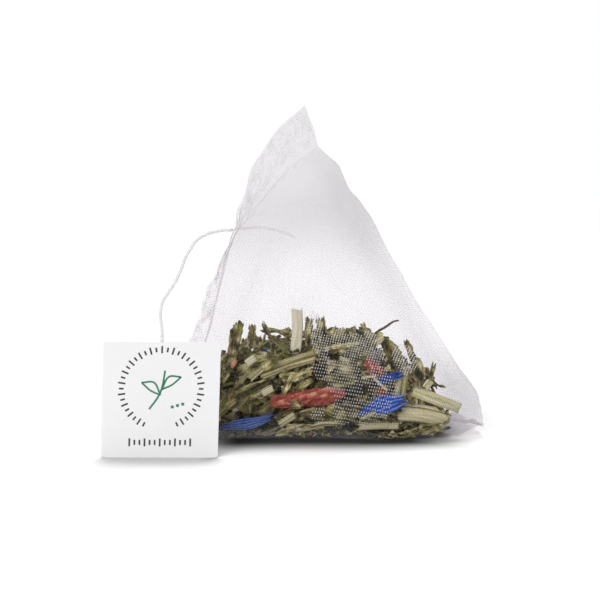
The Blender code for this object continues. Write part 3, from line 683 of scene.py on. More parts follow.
def cord_material(name="cotton thread", clearness=0.0):
    material, tree, shader = new_material(name, 0.85, 0.2)
    grain = placed_group(tree, GRAIN, Along=1.2, Across=9.0)
    colour = mixed(tree, "RGBA", grain.outputs["Streak"], (0.9, 0.89, 0.9, 1.0), (1.0, 0.99, 1.0, 1.0))
    tree.links.new(colour, shader.inputs["Base Color"])
    bumped(tree, shader, grain.outputs["Streak"], 0.8, 0.08)
    let_through(tree, shader, colour, 0.35)
    if clearness:
        seen_through(tree, clearness)
    return material


def card_material():
    """Thin white card with paper fibre and a slight soiling."""
    material, tree, shader = new_material("white card", 0.62, 0.35)
    place = add_node(tree, "ShaderNodeUVMap", {"uv_map": "grain"}).outputs["UV"]
    fibre = add_node(tree, "ShaderNodeTexNoise", None, Vector=place, Scale=1.1, Detail=9.0, Roughness=0.72)
    cloud = add_node(tree, "ShaderNodeTexNoise", None, Vector=place, Scale=0.12, Detail=2.0, Roughness=0.5)
    tone = math_node(tree, "ADD", math_node(tree, "MULTIPLY", fibre.outputs["Fac"], 0.4),
                     math_node(tree, "MULTIPLY", cloud.outputs["Fac"], 0.6))
    colour = mixed(tree, "RGBA", tone, (0.87, 0.862, 0.872, 1.0), (0.95, 0.942, 0.952, 1.0))
    tree.links.new(colour, shader.inputs["Base Color"])
    bumped(tree, shader, fibre.outputs["Fac"], 0.25, 0.05)
    return material


def ink_material(name, colour):
    material, tree, shader = new_material(name, 0.5, 0.3)
    place = add_node(tree, "ShaderNodeUVMap", {"uv_map": "grain"}).outputs["UV"]
    mottle = add_node(tree, "ShaderNodeTexNoise", None, Vector=place, Scale=4.0, Detail=6.0, Roughness=0.7)
    paler = tuple(min(1.0, c * 1.5 + 0.02) for c in colour)
    tone = mixed(tree, "RGBA", mottle.outputs["Fac"], (*colour, 1.0), (*paler, 1.0))
    tree.links.new(tone, shader.inputs["Base Color"])
    return material


LEAF_STOPS = [(0.0, (0.014, 0.012, 0.006)), (0.25, (0.1, 0.085, 0.038)), (0.45, (0.26, 0.23, 0.1)),
              (0.65, (0.54, 0.49, 0.21)), (0.84, (0.8, 0.71, 0.36)), (1.0, (0.95, 0.88, 0.6))]
STRAW_STOPS = [(0.0, (0.15, 0.125, 0.05)), (0.35, (0.5, 0.44, 0.2)), (0.65, (0.78, 0.72, 0.43)),
               (1.0, (0.96, 0.93, 0.76))]
FRUIT_STOPS = [(0.0, (0.09, 0.012, 0.008)), (0.4, (0.3, 0.045, 0.028)), (0.7, (0.5, 0.1, 0.065)),
               (1.0, (0.72, 0.36, 0.22))]
PETAL_STOPS = [(0.0, (0.008, 0.025, 0.16)), (0.4, (0.03, 0.1, 0.52)), (0.72, (0.1, 0.25, 0.8)),
               (1.0, (0.4, 0.55, 0.95))]
TWIG_STOPS = [(0.0, (0.05, 0.035, 0.018)), (0.5, (0.16, 0.12, 0.06)), (1.0, (0.36, 0.29, 0.16))]

# Stains of the leaf: colour, how fine, how much they cover
LEAF_STAINS = [((0.5, 0.27, 0.06), 0.34, 0.48), ((0.36, 0.4, 0.05), 0.27, 0.5),
               ((0.03, 0.028, 0.014), 0.5, 0.48)]
LEAF = plant_material("dry leaf", LEAF_STOPS, 0.4, 3.6, 2.0, (0.46, 0.42, 0.3), 0.42, 0.5, 1.0,
                      patches=LEAF_STAINS)
STRAW = plant_material("dry grass stem", STRAW_STOPS, 0.14, 5.2, 1.9, (0.8, 0.75, 0.6), 0.35, 0.5, 0.8,
                       glow=0.12)
FRUIT = plant_material("dry fruit", FRUIT_STOPS, 0.9, 1.6, 1.6, (0.75, 0.5, 0.42), 0.46, 0.42, 1.0)
PETAL = plant_material("dry petal", PETAL_STOPS, 0.3, 4.5, 1.2, (0.4, 0.5, 0.85), 0.3, 0.6, 0.6, glow=0.25)
TWIG = plant_material("dry twig", TWIG_STOPS, 0.3, 4.0, 0.9, (0.45, 0.4, 0.3), 0.4, 0.7, 0.8)
BED = plant_material("leaf bed", LEAF_STOPS, 1.3, 2.2, 0.8, (0.2, 0.19, 0.13), 0.4, 0.8, 1.0)
FILAMENT = filament_material()
VEIL = veil_material()
WELD = weld_material()
COTTON = cord_material()
# The tail inside the bag is mostly see-through, a painted lightening of the shade the mesh throws on it.
FAINT_COTTON = cord_material("see-through cotton thread", 0.7)
CARD = card_material()
DARK_INK = ink_material("dark ink", (0.03, 0.028, 0.032))
GREEN_INK = ink_material("green ink", (0.02, 0.16, 0.09))


# Camera, floor and light


def add_camera():
    data = bpy.data.cameras.new("camera")
    data.lens = LENS
    data.sensor_width = 36.0
    data.clip_start = 0.01
    camera = bpy.data.objects.new("camera", data)
    back = np.array([0.0, -math.cos(CAMERA_TILT), math.sin(CAMERA_TILT)]) * DISTANCE
    camera.location = Vector(to_frame(np.array(AIM) + back))
    camera.rotation_euler = (math.pi / 2 - CAMERA_TILT, 0.0, 0.0)
    bpy.context.collection.objects.link(camera)
    bpy.context.scene.camera = camera


# The floor's white reach and painted contact shadow, and the lamps, in metres and watts. CONTACT_RANGE is how
# open the floor is where the painted shadow is darkest and where it ends, CONTACT_SIDE where it fades to the
# right,
# CONTACT_CARD where it gets fainter under the card.
FLOOR_REACH = 0.6
FLOOR_FADE = (0.12, 0.3)
FLOOR_GAIN = 1.06
CONTACT_REACH = 12.0
CONTACT_RANGE = (0.5, 0.96)
CONTACT_DARK = 0.06
CONTACT_SIDE = (0.018, 0.034)
CONTACT_CARD = (-0.018, -0.01)
CARD_LIGHT = 0.6
WORLD_LEVEL = 0.32
LAMP_SIZE = 0.4
LAMPS = [("top lamp", (0.05, 0.25, 0.75), 3.6), ("front lamp", (-0.35, -0.7, 0.45), 3.7)]
LAMP_AIM = (0.0, 0.0, 0.02)


def seen_mask(tree):
    """1 on camera, glossy and transmission rays."""
    rays = tree.nodes.new("ShaderNodeLightPath").outputs
    seen = math_node(tree, "MAXIMUM", rays["Is Camera Ray"], rays["Is Glossy Ray"])
    return math_node(tree, "MAXIMUM", seen, rays["Is Transmission Ray"])


def add_floor():
    """A pale floor that shows the lamps' shadows, with a painted contact shadow near the bag from an ambient
    occlusion node, fainter to the right and under the card, and white further out.
    """
    mesh = bpy.data.meshes.new("floor")
    r = FLOOR_REACH
    mesh.from_pydata([(-r, -r, 0), (r, -r, 0), (r, r, 0), (-r, r, 0)], [], [(0, 1, 2, 3)])
    floor = bpy.data.objects.new("floor", mesh)
    bpy.context.collection.objects.link(floor)
    material = bpy.data.materials.new("pale floor")
    material.use_nodes = True
    tree = material.node_tree
    tree.nodes.clear()
    out = tree.nodes.new("ShaderNodeOutputMaterial")
    plain = add_node(tree, "ShaderNodeBsdfDiffuse", None, Color=(0.88, 0.88, 0.88, 1.0))
    closed = add_node(tree, "ShaderNodeAmbientOcclusion", {"samples": 24}, Distance=CONTACT_REACH * MM)
    gap = soft_step(tree, closed.outputs["AO"], *CONTACT_RANGE, CONTACT_DARK, FLOOR_GAIN)
    place = add_node(tree, "ShaderNodeNewGeometry").outputs["Position"]
    side = add_node(tree, "ShaderNodeSeparateXYZ", Vector=place).outputs["X"]
    beside = soft_step(tree, side, *CONTACT_SIDE, 0.0, FLOOR_GAIN)
    light = math_node(tree, "MAXIMUM", gap, beside)
    card = soft_step(tree, side, *CONTACT_CARD, CARD_LIGHT, 0.0)
    light = mixed(tree, "FLOAT", card, light, FLOOR_GAIN)
    bright = add_node(tree, "ShaderNodeBsdfDiffuse", None, Color=light)
    white = add_node(tree, "ShaderNodeEmission", None, Strength=1.0)
    distance = add_node(tree, "ShaderNodeVectorMath", {"operation": "LENGTH"})
    tree.links.new(place, distance.inputs[0])
    away = add_node(tree, "ShaderNodeMapRange", None, Value=distance.outputs["Value"],
                    From_Min=FLOOR_FADE[0], From_Max=FLOOR_FADE[1])
    seen = mix_shaders(tree, away.outputs[0], bright, white)
    both = mix_shaders(tree, seen_mask(tree), plain, seen)
    tree.links.new(both.outputs[0], out.inputs["Surface"])
    mesh.materials.append(material)


def add_world(strength):
    """Even light from all round, seen as white."""
    world = bpy.data.worlds.new("studio")
    bpy.context.scene.world = world
    world.use_nodes = True
    tree = world.node_tree
    background = tree.nodes["Background"]
    background.inputs["Color"].default_value = (1.0, 1.0, 1.0, 1.0)
    level = mixed(tree, "FLOAT", seen_mask(tree), strength, 1.0)
    tree.links.new(level, background.inputs["Strength"])


def add_lamp(name, place, power):
    data = bpy.data.lights.new(name, "AREA")
    data.shape = "DISK"
    data.size = LAMP_SIZE
    data.energy = power
    lamp = bpy.data.objects.new(name, data)
    lamp.location = place
    lamp.rotation_euler = (Vector(LAMP_AIM) - Vector(place)).to_track_quat("-Z", "Y").to_euler()
    bpy.context.collection.objects.link(lamp)


def add_light():
    add_world(WORLD_LEVEL)
    for name, place, power in LAMPS:
        add_lamp(name, place, power)
    bpy.context.scene.view_settings.view_transform = "Standard"


# Thread of the tag


def turning_frames(run):
    """Directions across a run of points that turn as little as they can."""
    tangents = unit(np.gradient(run, axis=0))
    first = unit(np.cross(tangents[0], (0.3, 0.2, 0.9)))
    sides = [first]
    for tangent in tangents[1:]:
        side = sides[-1] - tangent * (sides[-1] @ tangent)
        sides.append(side / np.linalg.norm(side))
    sides = np.array(sides)
    return tangents, sides, np.cross(tangents, sides)


def ply_rings(run, radius, pitch, sides, seed):
    """Rings of a two-ply twist about a run of points."""
    _, across, over = turning_frames(run)
    length = np.concatenate([[0.0], np.cumsum(np.linalg.norm(np.diff(run, axis=0), axis=1))])
    rng = np.random.default_rng(seed)
    angle = circle(sides)
    twist = 2 * math.pi * length / pitch
    lobe = np.abs(np.cos(angle)) ** 0.8
    shape = radius * (0.74 + 0.26 * lobe)
    uneven = 1 + rng.uniform(-0.05, 0.05, (len(run), 1)) + 0.04 * np.sin(length / 1.7)[:, None]
    turned = angle[None, :] + twist[:, None]
    reach = shape[None, :] * uneven
    return (run[:, None] + across[:, None] * (np.cos(turned) * reach)[..., None]
            + over[:, None] * (np.sin(turned) * reach)[..., None])


def add_cord():
    """The tag's thread, from its cut tail inside the bag, through the weld, to the back of the card."""
    route = TAIL_ROUTE[::-1] + CORD_ROUTE
    run = curve_run(route, CORD_STEP)
    rings = ply_rings(run, CORD_DIAMETER / 2, PLY_TURN, PLY_SIDES, 5)
    length = np.linalg.norm(np.diff(run, axis=0), axis=1).sum()
    inside = int(np.argmin(np.linalg.norm(run - CORD_ROUTE[0], axis=1)))
    tail = tube_form(rings[:inside + 1], inside * CORD_STEP, math.pi * CORD_DIAMETER)
    tail = make_piece("thread_tail", tail, FAINT_COTTON, ("string_tail",))
    run = run[inside:]
    length -= inside * CORD_STEP
    body = tube_form(rings[inside - 3:], length, math.pi * CORD_DIAMETER)
    cord = make_piece("twisted_thread", body, COTTON, ("string",))
    add_fuzz(run)


def add_fuzz(run):
    """Loose fibres that stand off the thread."""
    rng = np.random.default_rng(9)
    forms = []
    for _ in range(FUZZ_HAIRS):
        start = run[rng.integers(4, len(run) - 100)]
        direction = unit(rng.normal(size=3))
        bend = unit(rng.normal(size=3)) * 0.35
        along = np.linspace(0, 1, 5)[:, None]
        hair = start + direction * along * rng.uniform(0.35, 0.8) + bend * along ** 2 * rng.uniform(0.2, 0.7)
        _, across, over = turning_frames(hair)
        angle = circle(4)
        radius = FUZZ_RADIUS * (1.1 - along[:, 0])
        rings = hair[:, None] + (across[:, None] * np.cos(angle)[None, :, None]
                                 + over[:, None] * np.sin(angle)[None, :, None]) * radius[:, None, None]
        forms.append(tube_form(rings, 1.0, 0.1))
    return make_piece("thread_fuzz", join_forms(forms), COTTON)


# Woven bag


def thread_tubes(lines, normals, lifts, side_ways, tints, radius=THREAD_RADIUS):
    """Tubes along many lines at once. lines is (threads, points, 3)."""
    threads, count = lines.shape[:2]
    sides = THREAD_SIDES
    centre = lines + normals * lifts[..., None]
    angle = 2 * math.pi * (np.arange(sides) + 0.25) / sides
    rings = (centre[:, :, None] + side_ways[:, :, None] * (np.cos(angle) * radius)[None, None, :, None]
             + normals[:, :, None] * (np.sin(angle) * radius)[None, None, :, None])
    index = np.arange(threads * count * sides).reshape(threads, count, sides)
    wrapped = np.concatenate([index, index[:, :, :1]], axis=2)
    place = (np.arange(threads)[:, None, None] + 0.05 + 0.9 * np.arange(sides + 1) / sides) / threads
    place = np.broadcast_to(place, (threads, count, sides + 1))
    run = np.broadcast_to(np.linspace(0.005, 0.995, count)[None, :, None], place.shape)

    def cells(grid):
        return np.stack([grid[:, :-1, :-1], grid[:, :-1, 1:], grid[:, 1:, 1:], grid[:, 1:, :-1]], axis=3)

    quads = cells(wrapped).reshape(-1, 4)
    chart = cells(np.stack([run, place], axis=-1)).reshape(-1, 4, 2)
    tint = np.broadcast_to(tints[:, :, None], (threads, count, sides)).reshape(-1)
    return Form(rings.reshape(-1, 3), quads, chart, chart * TUBE_GIRTH, tint)


# Patches of painted highlight on the crossings at the front: x and z, how far across and up (mm), and how
# bright
HIGHLIGHT_PATCHES = [(0.7, 18.6, 1.7, 4.6, 0.9), (5.4, 17.6, 3.6, 3.0, 0.55), (4.0, 12.6, 5.2, 2.2, 0.75),
           (10.6, 15.0, 1.7, 4.6, 0.9), (7.2, 8.2, 5.4, 4.6, 1.0), (11.0, 10.0, 3.4, 2.6, 0.85),
           (15.8, 14.6, 2.0, 2.6, 0.95), (2.6, 4.6, 4.4, 1.8, 0.6)]


def right_fold(z):
    """How far right the bag's right fold lies at a height."""
    return 30.5 - 0.555 * z


def painted_crossing_highlight(grid):
    """The painted highlight of the crossings, from 0 to 1: most in patches at the front, some along the right
    fold.
    """
    x, y, z = grid[..., 0], grid[..., 1], grid[..., 2]
    patches = np.clip(0.3 + 0.3 * wander(grid, 14.0, 51), 0.05, 1)
    near = np.clip((14 - y) / 6, 0, 1)
    belly = np.zeros(x.shape)
    for middle_x, middle_z, across, up, level in HIGHLIGHT_PATCHES:
        down = middle_z - z
        away = ((x - middle_x - 0.25 * down) / across) ** 2 + (down / up) ** 2
        belly = np.maximum(belly, level * np.clip(1.7 - 1.2 * away, 0, 1))
    belly *= near * np.clip(0.9 + 0.35 * wander(grid, 4.5, 52), 0, 1)
    edge = np.exp(-((x - right_fold(z) + 5.0) / 2.6) ** 2)
    edge *= np.clip((z - 12) / 6, 0, 1) * np.clip((36 - z) / 6, 0, 1)
    return np.clip(0.2 * patches + 0.95 * belly + 0.12 * edge, 0, 1)


def seam_glow(grid):
    """How much the threads are brightened near the welds, a painted glow, and speckled with painted sparkle
    in the bands, row by row of the cloth.
    """
    row = np.arange(len(grid))[:, None]
    away = np.minimum(row - BAND_WEFTS, len(grid) - 1 - BAND_WEFTS - row)
    body = 0.04 * np.exp(-np.maximum(away, 0) / 2.2)
    sparkle = np.clip(0.1 + 0.2 * wander(grid, 2.6, 81) + 0.2 * wander(grid, 0.9, 82), 0.0, 0.7)
    return np.where(away < -1, sparkle, body)


def add_bag():
    """The woven bag as real threads, over and under each other."""
    turns = np.arange(2 * WARPS) / (2 * WARPS)
    fine = bag_fabric(turns, np.linspace(0, 1, BODY_WEFTS), np.linspace(0, 1, BAND_WEFTS + 1)[1:])
    grid = fine[:, ::2].copy()
    grid[1::2] = fine[1::2, 1::2]
    round_way = unit(np.roll(grid, -1, axis=1) - np.roll(grid, 1, axis=1))
    along = unit(np.gradient(grid, axis=0))
    normals = unit(np.cross(round_way, along))
    rows, columns = grid.shape[:2]
    over = (np.add.outer(np.arange(rows), np.arange(columns)) % 2).astype(float)
    # The crossings' painted highlight, and the threads' tint from it and from the painted seam glow.
    white = painted_crossing_highlight(grid)
    faint = np.maximum(0.1 * white, seam_glow(grid))
    lift = (over * 2 - 1) * WEAVE_LIFT
    weft = [np.concatenate([a, a[:, :1]], axis=1) for a in (grid, normals, lift, along, faint)]
    warp = [a.swapaxes(0, 1) for a in (grid, normals, -lift, round_way, faint)]
    for parts, ends in ((weft, ("weft_upper", "weft_lower")), (warp, ("warp_front", "warp_back"))):
        half = len(parts[0]) // 2
        for end, chosen in zip(ends, (slice(0, half), slice(half, None))):
            threads = thread_tubes(*(a[chosen] for a in parts))
            make_piece(f"mesh_{end}", threads, FILAMENT, ("mesh_bag",))
    add_knuckles(grid, normals, round_way, along, white)
    add_beads()
    add_veil()


def add_knuckles(grid, normals, round_way, along, white):
    """Knuckles of the crossings, only where the painted highlight is strong, and tinted bright with it:
    painted highlight dots.
    """
    lit = white > KNUCKLE_LEVEL
    middles = grid[lit] + normals[lit] * WEAVE_LIFT
    reach = round_way[lit] * KNUCKLE_HALF
    lines = np.stack([middles - reach, middles + reach], axis=1)
    bright = np.clip(2.5 * white, 0, 1)
    twice = [np.stack([a[lit], a[lit]], axis=1) for a in (normals, along, bright)]
    form = thread_tubes(lines, twice[0], np.zeros(lines.shape[:2]), twice[1], twice[2], KNUCKLE_RADIUS)
    return make_piece("mesh_knuckles", form, FILAMENT, ("mesh_bag",))


def add_beads():
    """The melted seams across both ends of the tube."""
    for name, weld, band in (("upper", UPPER_WELD, UPPER_BAND), ("lower", LOWER_WELD, LOWER_BAND)):
        share = np.linspace(0.004, 0.996, BEAD_RINGS)
        run, outer = smooth_curve(weld, share), smooth_curve(band, share)
        tangents = unit(np.gradient(run, axis=0))
        out = unit(outer - run)
        across = unit(np.cross(tangents, out))
        out = np.cross(across, tangents)
        angle = circle(BEAD_SIDES)
        uneven = 1 + 0.16 * wander(run, 1.4, 71)[:, None, None] + 0.12 * wander(run, 0.6, 72)[:, None, None]
        rings = run[:, None] + (out[:, None] * (np.cos(angle) * BEAD_WIDE)[None, :, None]
                                + across[:, None] * (np.sin(angle) * BEAD_DEEP)[None, :, None]) * uneven
        rings[..., 2] = np.maximum(rings[..., 2], FLOOR_REST)
        bead = tube_form(rings, np.linalg.norm(np.diff(run, axis=0), axis=1).sum(), 2.0)
        make_piece(f"weld_{name}", bead, WELD, ("mesh_bag",))


def painted_mesh_shade(grid):
    """The painted shade of the mesh: how grey it looks, from 0 to 1, more towards the tip, the floor, the
    right corner and along the right fold, less in the bands and at the welds, a painted lightening where four
    layers lie on each other."""
    x, z = grid[..., 0], grid[..., 2]
    tip = np.clip((z - 30) / 10, 0, 1)
    corner = np.clip((x - 22) / 5, 0, 1)
    foot = np.clip((4.5 - z) / 3.5, 0, 1)
    patches = 0.13 * wander(grid, 16.0, 61)
    edge = np.exp(-((x - right_fold(z) + 2.0) / 3.0) ** 2)
    grey = 0.15 + 0.48 * tip + 0.7 * np.maximum(corner, foot) + 0.4 * edge + patches
    row = np.arange(len(grid))[:, None]
    band = BAND_WEFTS // 2
    away = np.minimum(row - band, len(grid) - 1 - band - row)
    return np.clip(grey * (1 - 0.85 * np.exp(-np.maximum(away, 0) / 2.5)), 0, 1)


def add_veil():
    """The cloth's own surface between the threads."""
    turns = np.arange(WARPS // 2) / (WARPS // 2)
    rises = np.linspace(0, 1, BODY_WEFTS // 2 + 1)
    grid = bag_fabric(turns, rises, np.linspace(0, 1, BAND_WEFTS // 2 + 1)[1:])
    grid = np.concatenate([grid, grid[:, :1]], axis=1)
    rows, columns = grid.shape[:2]
    quads = grid_quads(rows, columns)
    chart = corners_of(chart_grid(rows, columns, (0.005, 0.005), (0.995, 0.995))).reshape(-1, 4, 2)
    form = Form(grid.reshape(-1, 3), quads, chart, chart * TUBE_GIRTH, painted_mesh_shade(grid).reshape(-1))
    veil = make_piece("mesh_veil", form, VEIL, ("mesh_bag",))


class Wall:
    """The inside of the bag, which keeps the tea in."""

    def __init__(self):
        body = bag_body(np.arange(WALL_COLUMNS) / WALL_COLUMNS, np.linspace(0.01, 0.99, WALL_ROWS))
        body[..., 2] = np.maximum(body[..., 2], FLOOR_REST)
        index = np.arange(WALL_ROWS * WALL_COLUMNS).reshape(WALL_ROWS, WALL_COLUMNS)
        quads = corners_of(np.concatenate([index, index[:, :1]], axis=1)).reshape(-1, 4)
        points = body.reshape(-1, 3)
        corners = points[quads]
        crossed = np.cross(corners[:, 2] - corners[:, 0], corners[:, 3] - corners[:, 1])
        normals = unit(crossed)
        self.middles = corners.mean(axis=1)
        inner = body.mean(axis=1).repeat(WALL_COLUMNS, axis=0)[:len(quads)]
        outward = ((self.middles - inner) * normals).sum(-1)
        self.normals = normals * np.where(outward < 0, -1.0, 1.0)[:, None]
        self.areas = np.linalg.norm(crossed, axis=1) / 2
        self.tree = BVHTree.FromPolygons(points.tolist(), quads.tolist())

    def tuck(self, points, clearance=WALL_CLEARANCE):
        """Moves points that would poke through the mesh back inside it."""
        kept = np.array(points, dtype=float)
        for number, point in enumerate(kept):
            hit, _, face, _ = self.tree.find_nearest(Vector(point))
            normal = self.normals[face]
            out = (point - np.array(hit)) @ normal
            if out > -clearance:
                kept[number] = np.array(hit) - normal * clearance
        kept[:, 2] = np.maximum(kept[:, 2], FLOOR_REST + clearance)
        return kept


# Tea pieces, each made flat about the origin: x along it, y across it, z away from the heap


def creases(x, y, rng, shortest, depth):
    """Heights of sharp folds that cross a flat piece in random directions, from about -1 to 1 times depth."""
    height = 0.0
    for k in range(3):
        angle = rng.uniform(0, math.pi) if k == 2 else rng.uniform(-0.35, 0.35)
        length = shortest * rng.uniform(1.0, 2.2) * (2.0 if k == 2 else 1.0)
        place = (y * math.cos(angle) + x * math.sin(angle)) / length + rng.uniform(0, 1)
        height = height + depth * length / shortest * (2 * np.abs(place % 1 - 0.5) - 0.5)
    return height


def steps(rows, columns):
    """Steps along a piece from 0 to 1 and across it from -1 to 1, as a column and a row."""
    return np.linspace(0, 1, rows)[:, None], np.linspace(-1, 1, columns)[None, :]


def leaf_grid(length, width, rng, roll, rows, columns, taper, crumple=0.06):
    """A torn, folded and rolled flake of dry leaf, and the height of its folds from about -1 to 1."""
    f, s = steps(rows, columns)
    outline = 1 - taper + taper * np.sin(math.pi * (0.08 + 0.84 * f)) ** 0.8
    torn = rng.uniform(-0.3, 0.1, (rows, 2))
    torn[1:-1] = (torn[:-2] + torn[1:-1] + torn[2:]) / 3
    for side in (0, 1):
        notch = rng.uniform(0.1, 0.9, 2)
        for place in notch:
            depth = rng.uniform(0.1, 0.6)
            torn[:, side] -= depth * np.exp(-((f[:, 0] - place) / rng.uniform(0.03, 0.09)) ** 2)
    edge = np.where(s < 0, torn[:, :1], torn[:, 1:])
    half = width / 2 * (outline + edge * np.abs(s))
    turn = roll / 2 + rng.uniform(-0.3, 0.3) * (f - 0.5)
    turn = np.maximum(np.abs(turn), 0.15)
    y = half / turn * np.sin(turn * s)
    z = half / turn * (1 - np.cos(turn * s))
    ends = rng.uniform(-0.13, 0.07, (2, columns))
    ends = np.where(f < 0.5, -ends[:1], ends[1:]) * np.abs(2 * f - 1) ** 4
    x = (f - 0.5 + ends) * length + np.zeros_like(s)
    folds = creases(x, y, rng, min(1.0, width * 0.5), 1.0)
    z = z + 0.13 * min(1.0, width * 0.5) * folds
    wave = rng.uniform(0, 6, 4)
    z = z + crumple * width * (np.sin(f * 7 + wave[0] + 2 * s) * 0.5 + np.sin(f * 13 + 3 * s + wave[1]) * 0.3)
    bend = rng.uniform(-0.12, 0.12)
    z = z + bend * length * (2 * f - 1) ** 2
    y = y + rng.uniform(-0.08, 0.08) * length * (2 * f - 1) ** 2
    twist = rng.uniform(-0.7, 0.7) * (f - 0.5)
    y, z = y * np.cos(twist) - z * np.sin(twist), y * np.sin(twist) + z * np.cos(twist)
    return np.stack([x, y, z], axis=-1), folds


def dry_leaf(length, width, rng, tint, roll=1.7, rows=24, columns=11, taper=0.5):
    top, folds = leaf_grid(length, width, rng, roll, rows, columns, taper)
    edge = np.abs(np.linspace(-1, 1, columns))[None, :] ** 3 * 0.14
    # Tint rises with the height of the folds: painted shade in their valleys and painted light on their
    # ridges.
    tints = tint + edge + 0.16 * folds + rng.uniform(-0.1, 0.1, (rows, columns))
    return sheet_form(top, rng.uniform(0.1, 0.17), length, width, tints)


def dry_stub(length, width, rng, tint):
    """An upright splinter of leaf with about even sides and a jagged top."""
    return dry_leaf(length, width, rng, tint, roll=1.2, rows=26, columns=11, taper=0.12)


def dry_petal(length, width, rng, tint, rows=20, columns=23):
    """A shrivelled petal in narrow pleats that run along it and end in fine teeth."""
    f, s = steps(rows, columns)
    phase = rng.uniform(0, 6, 3)
    half = width / 2 * (0.3 + 0.7 * np.sin(math.pi * (0.08 + 0.7 * f)) ** 0.8)
    pleats = 2 * np.abs((s * 2.3 + 0.3 * np.sin(5 * f + phase[0])) % 1 - 0.5) * 2 - 1
    ends = rng.uniform(-0.22, 0.05, (1, columns)) * f ** 4
    ends = ends + rng.uniform(-0.05, 0.2, (1, columns)) * (1 - f) ** 6
    x = (f - 0.5 + ends) * length
    y = half * s * (1 - 0.2 * np.sin(7 * f + phase[1])) + 0.05 * length * np.sin(3.4 * f + phase[2])
    z = 0.13 * min(width, 2.0) * pleats * (0.5 + 0.5 * f) + 0.1 * length * np.sin(math.pi * f)
    z = z + 0.08 * width * np.sin(9 * f + 3 * s + phase[1])
    # Tint follows the pleats: painted shade in their valleys and painted highlight on their crests.
    tints = tint + 0.3 * pleats + 0.15 * f + rng.uniform(-0.1, 0.1, (rows, columns))
    return sheet_form(np.stack([x + 0 * s, y, z], axis=-1), 0.06, length, width, tints)


def grass_strip(length, width, rng, tint, rows=20, columns=15):
    """A ribbed length of grass stem with torn ends, its split a painted dark line of shade."""
    f, s = steps(rows, columns)
    ends = np.stack([rng.uniform(0, 0.13, columns), rng.uniform(-0.13, 0, columns)])
    ends[:, 1:] = (ends[:, 1:] + ends[:, :-1]) / 2
    x = (f - 0.5) * length + length * (ends[0] * (1 - f) ** 4 + ends[1] * f ** 4)
    arc = rng.uniform(1.1, 1.5)
    radius = width / 2 / math.sin(arc / 1.25)
    y = radius * np.sin(arc * s / 1.25) + 0 * f
    z = radius * (np.cos(arc * s / 1.25) - 1)
    ribs = 0.075 * np.cos(s * math.pi * 5.5 + rng.uniform(0, 2))
    bow = rng.uniform(-0.05, 0.05) * length * (2 * f - 1) ** 2
    z = z + ribs * min(1.0, width / 1.5) + bow
    sway = rng.uniform(-0.03, 0.03) * length * np.sin(math.pi * f)
    tints = tint + 0.16 * np.cos(s * math.pi * 5.5) + 0.2 * rng.uniform(-1, 1, (1, columns)) + 0 * f
    # A painted dark line along one column stands for the shade in a split.
    tints[:, rng.integers(columns // 2, columns - 2)] -= 0.55
    return sheet_form(np.stack([x, y + sway, z], axis=-1), 0.2, length, width, tints)


def grass_tube(length, width, rng, tint, rows=18, sides=22):
    """A hollow ribbed length of grass stem, open at both ends."""
    f = np.linspace(0, 1, rows)[:, None]
    angle = circle(sides)
    ribs = 1 + 0.05 * np.cos(angle * 7) + 0.03 * rng.uniform(-1, 1, sides)
    outer = width / 2 * ribs * (1 + 0.05 * np.sin(4 * f))
    uneven = rng.uniform(0, 0.05, (2, sides))
    x = (f - 0.5) * length + length * (uneven[0] * (1 - f) ** 4 - uneven[1] * f ** 4)
    rings = []
    for scale, order in ((1.0, 1), (0.7, -1)):
        reach = outer * scale
        ring = np.stack([x, reach * np.cos(angle) * 1.08, reach * np.sin(angle) * 0.9], axis=-1)
        rings.append(ring[::order])
    rings.append(rings[0][:1])
    tints = tint + 0.14 * np.cos(angle * 7)[None, :] + np.zeros((2 * rows + 1, 1))
    # The inner wall is darker: painted shade inside the hollow.
    tints[rows:2 * rows] -= 0.2
    return tube_form(np.concatenate(rings), length * 2, width * 3, tints, closed=False)


def dry_twig(length, width, rng, tint, rows=12, sides=8):
    """A thin crooked stem with swollen joints."""
    f = np.linspace(0, 1, rows)
    bends = rng.uniform(-0.04, 0.04, (3, 2))
    y = length * sum(bends[k, 0] * np.sin((k + 1) * math.pi * f + k) for k in range(3))
    z = length * sum(bends[k, 1] * np.sin((k + 1) * math.pi * f) for k in range(3))
    radius = width / 2 * (1.05 - 0.35 * f) * (1 + 0.25 * np.exp(-((f - rng.uniform(0.3, 0.7)) / 0.06) ** 2))
    radius = radius * rng.uniform(0.88, 1.08, rows)
    angle = circle(sides)
    ring = np.stack([np.zeros(sides), np.cos(angle), np.sin(angle)], axis=-1)
    centre = np.stack([(f - 0.5) * length, y, z], axis=-1)
    return tube_form(centre[:, None] + ring[None] * radius[:, None, None], length, width * 3, tint)


def dry_fruit(length, width, rng, tint, rows=40, sides=28):
    """A shrunken piece of fruit, creased along its length."""
    f = np.linspace(0, 1, rows)[:, None]
    angle = circle(sides)[None, :]
    radius = width / 2 * np.maximum(1 - np.abs(2 * f - 1) ** 3.2, 0.02) ** 0.5
    p = rng.uniform(0, 6, 5)
    folds = 0.1 * np.sin(3 * angle + 5 * f + p[0]) + 0.1 * np.sin(5 * angle - 11 * f + p[1])
    folds = folds + 0.09 * np.sin(8 * angle + 21 * f + p[2]) + 0.06 * np.sin(33 * f + 3 * angle + p[3])
    reach = radius * (1 + folds)
    x = (f - 0.5) * length + 0.02 * length * np.sin(2 * angle + p[4])
    rings = np.stack([x, reach * np.cos(angle), 0.6 * reach * np.sin(angle)], axis=-1)
    # The tint follows the folds: painted shade in the creases and painted highlight on the ridges.
    return tube_form(rings, length, width * 3, tint + 1.2 * folds)


